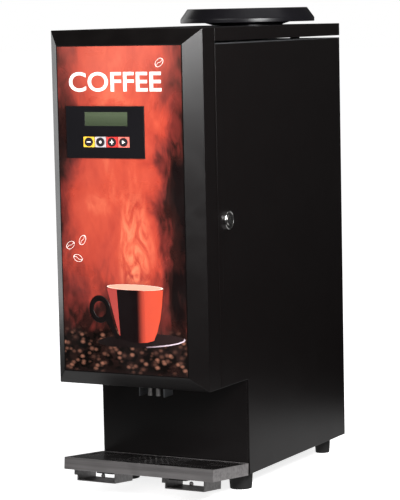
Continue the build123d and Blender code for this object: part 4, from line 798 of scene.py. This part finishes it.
class MACHINE_OT_print(bpy.types.Operator):
    """Lay the cup, beans and plain word on the printed sheet"""
    bl_idname = "machine.print_art"
    bl_label = "Printed art"

    def execute(self, context):
        thick = context.scene.machine_print.inlay_thickness
        front = node_size("poster_sheet")[0][1] - INK_GAP
        levels = [front - thick * i for i in range(5)]

        def lay(piece, name, finish):
            join_machine(piece, name, "door", finish)

        saucer = oval(0.024, 0.2225, 0.066, 0.0088, SAUCER_TURN)
        lay(flat_shape("saucer", saucer, levels[0], thick), "art_saucer",
            ink_finish("ink_saucer", linear(17, 9, 9), linear(34, 20, 20), (0.0, 0.08)))
        lip = oval(0.0255, 0.2222, 0.066, 0.0092, SAUCER_TURN, 24, LIP_START, LIP_END)
        lip += reversed(oval(0.0245, 0.2234, 0.0655, 0.0088, SAUCER_TURN, 24, LIP_START, LIP_END))
        lay(flat_shape("saucer_lip", lip, levels[1], thick), "art_saucer_lip",
            ink_finish("ink_saucer_lip", linear(58, 34, 38), linear(196, 178, 190), (0.02, 0.075)))
        cup = [(-0.0256, 0.291), (-0.0215, 0.276), (-0.0168, 0.258), (-0.0122, 0.242), (-0.0078, 0.229)]
        cup += [(-0.003, 0.2235), (0.010, 0.2205), (0.022, 0.2197), (0.034, 0.2205), (0.0445, 0.2235)]
        cup += [(0.0500, 0.236), (0.0545, 0.252), (0.0575, 0.270), (0.0595, 0.291)]
        lay(flat_shape("cup", cup, levels[2], thick), "art_cup",
            ink_finish("ink_cup", linear(142, 50, 45), linear(184, 64, 40), (-0.02, 0.05)))
        band = [(-0.0105, 0.2895), (-0.0062, 0.224), (0.010, 0.2203), (0.022, 0.2198)]
        band += [(0.0315, 0.2206), (0.0315, 0.2895)]
        lay(flat_shape("band", band, levels[3], thick), "art_cup_band",
            ink_finish("ink_band", linear(12, 4, 5), linear(168, 57, 40), (0.019, 0.0318)))
        lay(flat_shape("coffee", oval(COFFEE_X, COFFEE_Z, 0.0405, 0.0037), levels[3], thick), "art_coffee",
            ink_finish("ink_coffee", linear(206, 142, 122)))
        lay(oval_ring("rim", COFFEE_X, COFFEE_Z, 0.0412, 0.0038, 0.0014, levels[3], thick), "art_cup_rim",
            ink_finish("ink_rim", linear(238, 212, 198)))
        black_ink = ink_finish("ink_handle", linear(10, 5, 5))
        lay(oval_ring("handle", -0.0372, 0.2622, 0.0128, 0.0147, 0.0039, levels[1], thick, radians(6)),
            "art_cup_handle", black_ink)
        wedge = [(-0.0262, 0.270), (-0.0205, 0.258), (-0.0152, 0.240), (-0.0072, 0.2245), (-0.012, 0.2228)]
        wedge += [(-0.021, 0.236), (-0.030, 0.249), (-0.026, 0.257)]
        lay(flat_shape("wedge", wedge, levels[1], thick), "art_cup_wedge", black_ink)
        pale = ink_finish("ink_pale", linear(240, 226, 220))
        beans = ((-0.0805, 0.3466, 35), (-0.0615, 0.3539, 60), (-0.0693, 0.3295, -20), (0.0613, 0.5887, 40))
        for number, (x, z, turn) in enumerate(beans, 1):
            a = radians(turn)
            bean = oval_ring("bean", x, z, BEAN_LENGTH, BEAN_HEIGHT, BEAN_LINE, levels[0], thick, a)
            lay(bean, f"art_bean_{number}", pale)
            crease = [(-0.0062, 0.0002), (-0.002, 0.0011), (0.002, -0.0007), (0.0062, 0.0002)]
            crease += [(px, pz - CREASE_WIDTH) for px, pz in reversed(crease)]
            points = [(x + px * cos(a) - pz * sin(a), z + px * sin(a) + pz * cos(a)) for px, pz in crease]
            lay(flat_shape("crease", points, levels[0], thick), f"art_bean_crease_{number}", pale)

        deselect()
        bpy.ops.object.text_add()
        word = context.object
        word.data.body = "COFFEE"
        word.data.size = 0.04
        word.data.extrude = thick / 2
        word.data.offset = 0.0006
        word.data.resolution_u = 6
        pick(word)
        bpy.ops.object.convert(target="MESH")
        word = context.object
        word.rotation_euler = (pi / 2, 0, 0)
        settle(word)
        xs = [v.co.x for v in word.data.vertices]
        zs = [v.co.z for v in word.data.vertices]
        wide, tall = WORD_WIDTH / (max(xs) - min(xs)), WORD_HEIGHT / (max(zs) - min(zs))
        word.scale = (wide, 1.0, tall)
        word.location = (WORD_LEFT - min(xs) * wide, levels[0], WORD_FOOT - min(zs) * tall)
        settle(word)
        face_outwards()
        lay(word, "art_word", pale)
        return {"FINISHED"}


class MACHINE_OT_controls(bpy.types.Operator):
    """Soften the control panel's bezel and make the four keys' discs and signs"""
    bl_idname = "machine.controls"
    bl_label = "Control panel"

    def execute(self, context):
        softened("control_bezel", 0.0006, finish_for("black_plastic"))
        dark = ink_finish("key_disc", linear(34, 30, 34))
        light = ink_finish("key_sign", linear(238, 232, 224))
        signs = {
            1: [[(-1, -0.2), (1, -0.2), (1, 0.2), (-1, 0.2)]],
            2: [oval(0, 0, 0.62, 0.62, 0.0, 24)],
            3: [[(-1, -0.2), (-0.2, -0.2), (-0.2, -1), (0.2, -1), (0.2, -0.2), (1, -0.2),
                 (1, 0.2), (0.2, 0.2), (0.2, 1), (-0.2, 1), (-0.2, 0.2), (-1, 0.2)]],
            4: [[(-0.6, -0.8), (0.85, 0.0), (-0.6, 0.8)]],
        }
        slots = {1: "key_yellow", 2: "key_grey", 3: "key_red", 4: "key_salmon"}
        for number, slot in slots.items():
            node = f"key_button_{number}"
            body = f"key_{number}"
            softened(node, 0.0008, finish_for(slot), 30.0)
            low, high = node_size(node)
            x, z = (low[0] + high[0]) / 2, (low[2] + high[2]) / 2
            face = low[1] - INK_GAP
            disc = flat_shape("disc", oval(x, z, *KEY_DISC), face, KEY_DISC_DEPTH)
            round_edges(disc, 0.00012, 40.0)
            join_machine(disc, f"key_disc_{number}", body, dark)
            for outline in signs[number]:
                points = [(x + px * KEY_SIGN_SIZE, z + pz * KEY_SIGN_SIZE) for px, pz in outline]
                sign = flat_shape("sign", points, face - KEY_DISC_DEPTH, KEY_SIGN_DEPTH)
                join_machine(sign, f"key_sign_{number}", body, light)
        return {"FINISHED"}


class MACHINE_OT_lock(bpy.types.Operator):
    """Add the lock's raised ring and the keyway in its plug"""
    bl_idname = "machine.lock"
    bl_label = "Cam lock"

    def execute(self, context):
        centre = middle_of("lock_plug")
        body_face = node_size("lock_body")[1][0]
        plug_face = node_size("lock_plug")[1][0]
        crown = body_face + LOCK_RING_RISE
        ring = [(0.0106, body_face), (0.0112, crown), (0.0118, crown), (0.0122, body_face)]
        piece = turned("ring", ring + ring[:1], (0.0, centre[1], centre[2]), "X", 56)
        join_machine(piece, "lock_ring", "cabinet", finish_for("chromed"))
        # The keyway is no cut slot but a thin dark block on the plug's face; its dark colour is painted shade
        # for the slot.
        deselect()
        bpy.ops.mesh.primitive_cube_add(size=1.0, location=(plug_face + 0.0001, centre[1], centre[2]))
        keyway = context.object
        keyway.scale = KEYWAY_SIZE
        settle(keyway)
        round_edges(keyway, 0.0001, 30.0)
        join_machine(keyway, "lock_keyway", "lock", coated("keyway_dark", linear(12, 11, 11), 0.6))
        return {"FINISHED"}


class MACHINE_OT_finishes(bpy.types.Operator):
    """Give every frame node that still shows its own detailed finish"""
    bl_idname = "machine.finishes"
    bl_label = "Remaining finishes"

    def execute(self, context):
        groups = {
            "black_coat": ("rear_panel", "cabinet_hinges", "door_hinge_leaves", "tray_arms"),
            "galvanised": ("head_floor_plate", "top_plate", "rear_bulkhead", "mixer_plate", "canister_shelf",
                           "lock_keeper", "nozzle_block"),
            "stainless": ("dispensing_nozzles", "water_tank", "tank_heater"),
            "print": ("poster_sheet",),
            "black_plastic": ("display_cover", "power_inlet", "power_switch_frame", "exhaust_fan_frame",
                              "exhaust_fan_rotor"),
            "lcd": ("lcd_window",),
            "circuit_board": ("display_board", "main_board"),
            "chromed": ("lock_body", "lock_plug", "lock_cam"),
            "rubber_black": ("rubber_feet", "cover_bumpers"),
            "clear_plastic": ("canister_left", "canister_right"),
            "white_plastic": ("canister_lids", "powder_chutes", "mixing_bowl_left", "mixing_bowl_right",
                              "auger_left", "auger_right", "whipper_left", "whipper_right"),
            "motor_case": ("auger_motors", "whipper_motors", "water_valves"),
            "foam": ("tank_jacket",),
            "silicone": ("silicone_hoses",),
            "rocker_red": ("power_switch_rocker",),
        }
        polished = metal("plate_steel", linear(176, 172, 172), 0.19, 0.000003)
        for held in frame["nodes"]["tray_plate"].material_slots:
            held.material = polished
        for slot, nodes in groups.items():
            finish = finish_for(slot)
            for node in nodes:
                for held in frame["nodes"][node].material_slots:
                    held.material = finish
        return {"FINISHED"}


def softbox(name, place, aim, size, power):
    deselect()
    bpy.ops.object.light_add(type="AREA", location=place)
    lamp = bpy.context.object
    lamp.name = name
    lamp.data.shape = "RECTANGLE"
    lamp.data.size, lamp.data.size_y = size
    lamp.data.energy = power
    way = Matrix.Translation(place).to_translation() - Matrix.Translation(aim).to_translation()
    lamp.rotation_euler = way.to_track_quat("Z", "Y").to_euler()
    return lamp


class MACHINE_OT_stage(bpy.types.Operator):
    """Set the pale floor, the soft studio lights and the camera"""
    bl_idname = "machine.stage"
    bl_label = "Studio stage"

    def execute(self, context):
        stage = context.scene.machine_stage
        deselect()
        bpy.ops.mesh.primitive_grid_add(x_subdivisions=12, y_subdivisions=12, size=60.0)
        floor = context.object
        floor.name = "studio_floor"
        finish, tree, shader = new_finish("pale_floor")
        shader.inputs["Base Color"].default_value = tuple(stage.floor_colour)
        shader.inputs["Roughness"].default_value = 0.9
        shader.inputs["Specular IOR Level"].default_value = 0.1
        shader.inputs["Emission Color"].default_value = (1, 1, 1, 1)
        path = put(tree, "ShaderNodeLightPath")
        place = put(tree, "ShaderNodeTexCoord").outputs["Object"]
        reach = put(tree, "ShaderNodeVectorMath", operation="LENGTH")
        tree.links.new(place, reach.inputs[0])
        # Painted reflection: for glossy rays the floor glows brightly near the machine and fades further out,
        # which puts a reflection on the machine's sides and tray.
        reflection_glow_level = spread(tree, reach.outputs["Value"], 0.4, 0.7, 0.7, 0.006)
        white = spread(tree, reach.outputs["Value"], 0.5, 1.8, 0.82, 1.0)
        tree.links.new(white, shader.inputs["Emission Strength"])
        painted_reflection_glow = put(tree, "ShaderNodeEmission")
        tree.links.new(reflection_glow_level, painted_reflection_glow.inputs["Strength"])
        mix = put(tree, "ShaderNodeMixShader")
        tree.links.new(path.outputs["Is Glossy Ray"], mix.inputs["Fac"])
        tree.links.new(shader.outputs["BSDF"], mix.inputs[1])
        tree.links.new(painted_reflection_glow.outputs["Emission"], mix.inputs[2])
        tree.links.new(mix.outputs["Shader"], tree.nodes["Material Output"].inputs["Surface"])
        dress(floor, finish)

        world = bpy.data.worlds.new("Studio air")
        context.scene.world = world
        world.use_nodes = True
        sky = world.node_tree
        back = sky.nodes["Background"]
        seen = put(sky, "ShaderNodeLightPath")
        level = put(sky, "ShaderNodeMapRange")
        sky.links.new(seen.outputs["Is Camera Ray"], level.inputs["Value"])
        level.inputs["To Min"].default_value = 0.05
        level.inputs["To Max"].default_value = 1.0
        sky.links.new(level.outputs["Result"], back.inputs["Strength"])
        back.inputs["Color"].default_value = (1, 1, 1, 1)

        softbox("front_softbox", (-0.5, -2.6, 2.0), (0, -0.2, 0.35), (1.8, 1.8), stage.front_power)
        softbox("right_softbox", (0.95, -0.75, 0.86), (0.1, -0.2, 0.6), (0.5, 0.5), stage.right_power)
        softbox("left_card", (-1.7, 0.6, 0.4), (-0.1, -0.2, 0.35), (1.6, 2.0), stage.left_power)
        softbox("top_softbox", (0.2, 0.3, 2.4), (0, 0, 0.5), (1.6, 1.6), 9.0)

        deselect()
        bpy.ops.object.camera_add()
        camera = context.object
        camera.name = "machine_camera"
        right, up = (0.88235, 0.47012, -0.02106), (-0.03185, 0.10430, 0.99404)
        ahead, place = (-0.46951, 0.87642, -0.10701), (1.4642, -2.7402, 0.6535)
        rows = [(right[i], up[i], -ahead[i], place[i]) for i in range(3)] + [(0, 0, 0, 1)]
        camera.matrix_world = Matrix(rows)
        camera.data.lens = stage.lens
        camera.data.sensor_width = 36.0
        context.scene.camera = camera
        context.scene.view_settings.view_transform = "Standard"
        return {"FINISHED"}


STEPS = (
    MACHINE_OT_cabinet, MACHINE_OT_door, MACHINE_OT_filler, MACHINE_OT_tray, MACHINE_OT_print,
    MACHINE_OT_controls, MACHINE_OT_lock, MACHINE_OT_fasteners, MACHINE_OT_finishes, MACHINE_OT_stage,
)


class MACHINE_PT_panel(bpy.types.Panel):
    """Lists the machine's steps and settings"""
    bl_idname = "MACHINE_PT_panel"
    bl_label = "Coffee Machine"
    bl_space_type = "VIEW_3D"
    bl_region_type = "UI"
    bl_category = "Coffee Machine"

    def draw(self, context):
        for step in STEPS:
            self.layout.operator(step.bl_idname)
        scene = context.scene
        for settings in (scene.machine_coating, scene.machine_print, scene.machine_stage):
            box = self.layout.box()
            for key in settings.__annotations__:
                box.prop(settings, key)


CLASSES = (CoatingSettings, PrintSettings, StageSettings) + STEPS + (MACHINE_PT_panel,)


def register():
    for entry in CLASSES:
        bpy.utils.register_class(entry)
    bpy.types.Scene.machine_coating = bpy.props.PointerProperty(type=CoatingSettings)
    bpy.types.Scene.machine_print = bpy.props.PointerProperty(type=PrintSettings)
    bpy.types.Scene.machine_stage = bpy.props.PointerProperty(type=StageSettings)


def unregister():
    del bpy.types.Scene.machine_coating
    del bpy.types.Scene.machine_print
    del bpy.types.Scene.machine_stage
    for entry in reversed(CLASSES):
        bpy.utils.unregister_class(entry)


def main():
    register()
    bpy.ops.machine.cabinet()
    bpy.ops.machine.door()
    bpy.ops.machine.filler()
    bpy.ops.machine.tray()
    bpy.ops.machine.print_art()
    bpy.ops.machine.controls()
    bpy.ops.machine.lock()
    bpy.ops.machine.fasteners()
    bpy.ops.machine.finishes()
    bpy.ops.machine.stage()


if __name__ == "__main__":
    main()
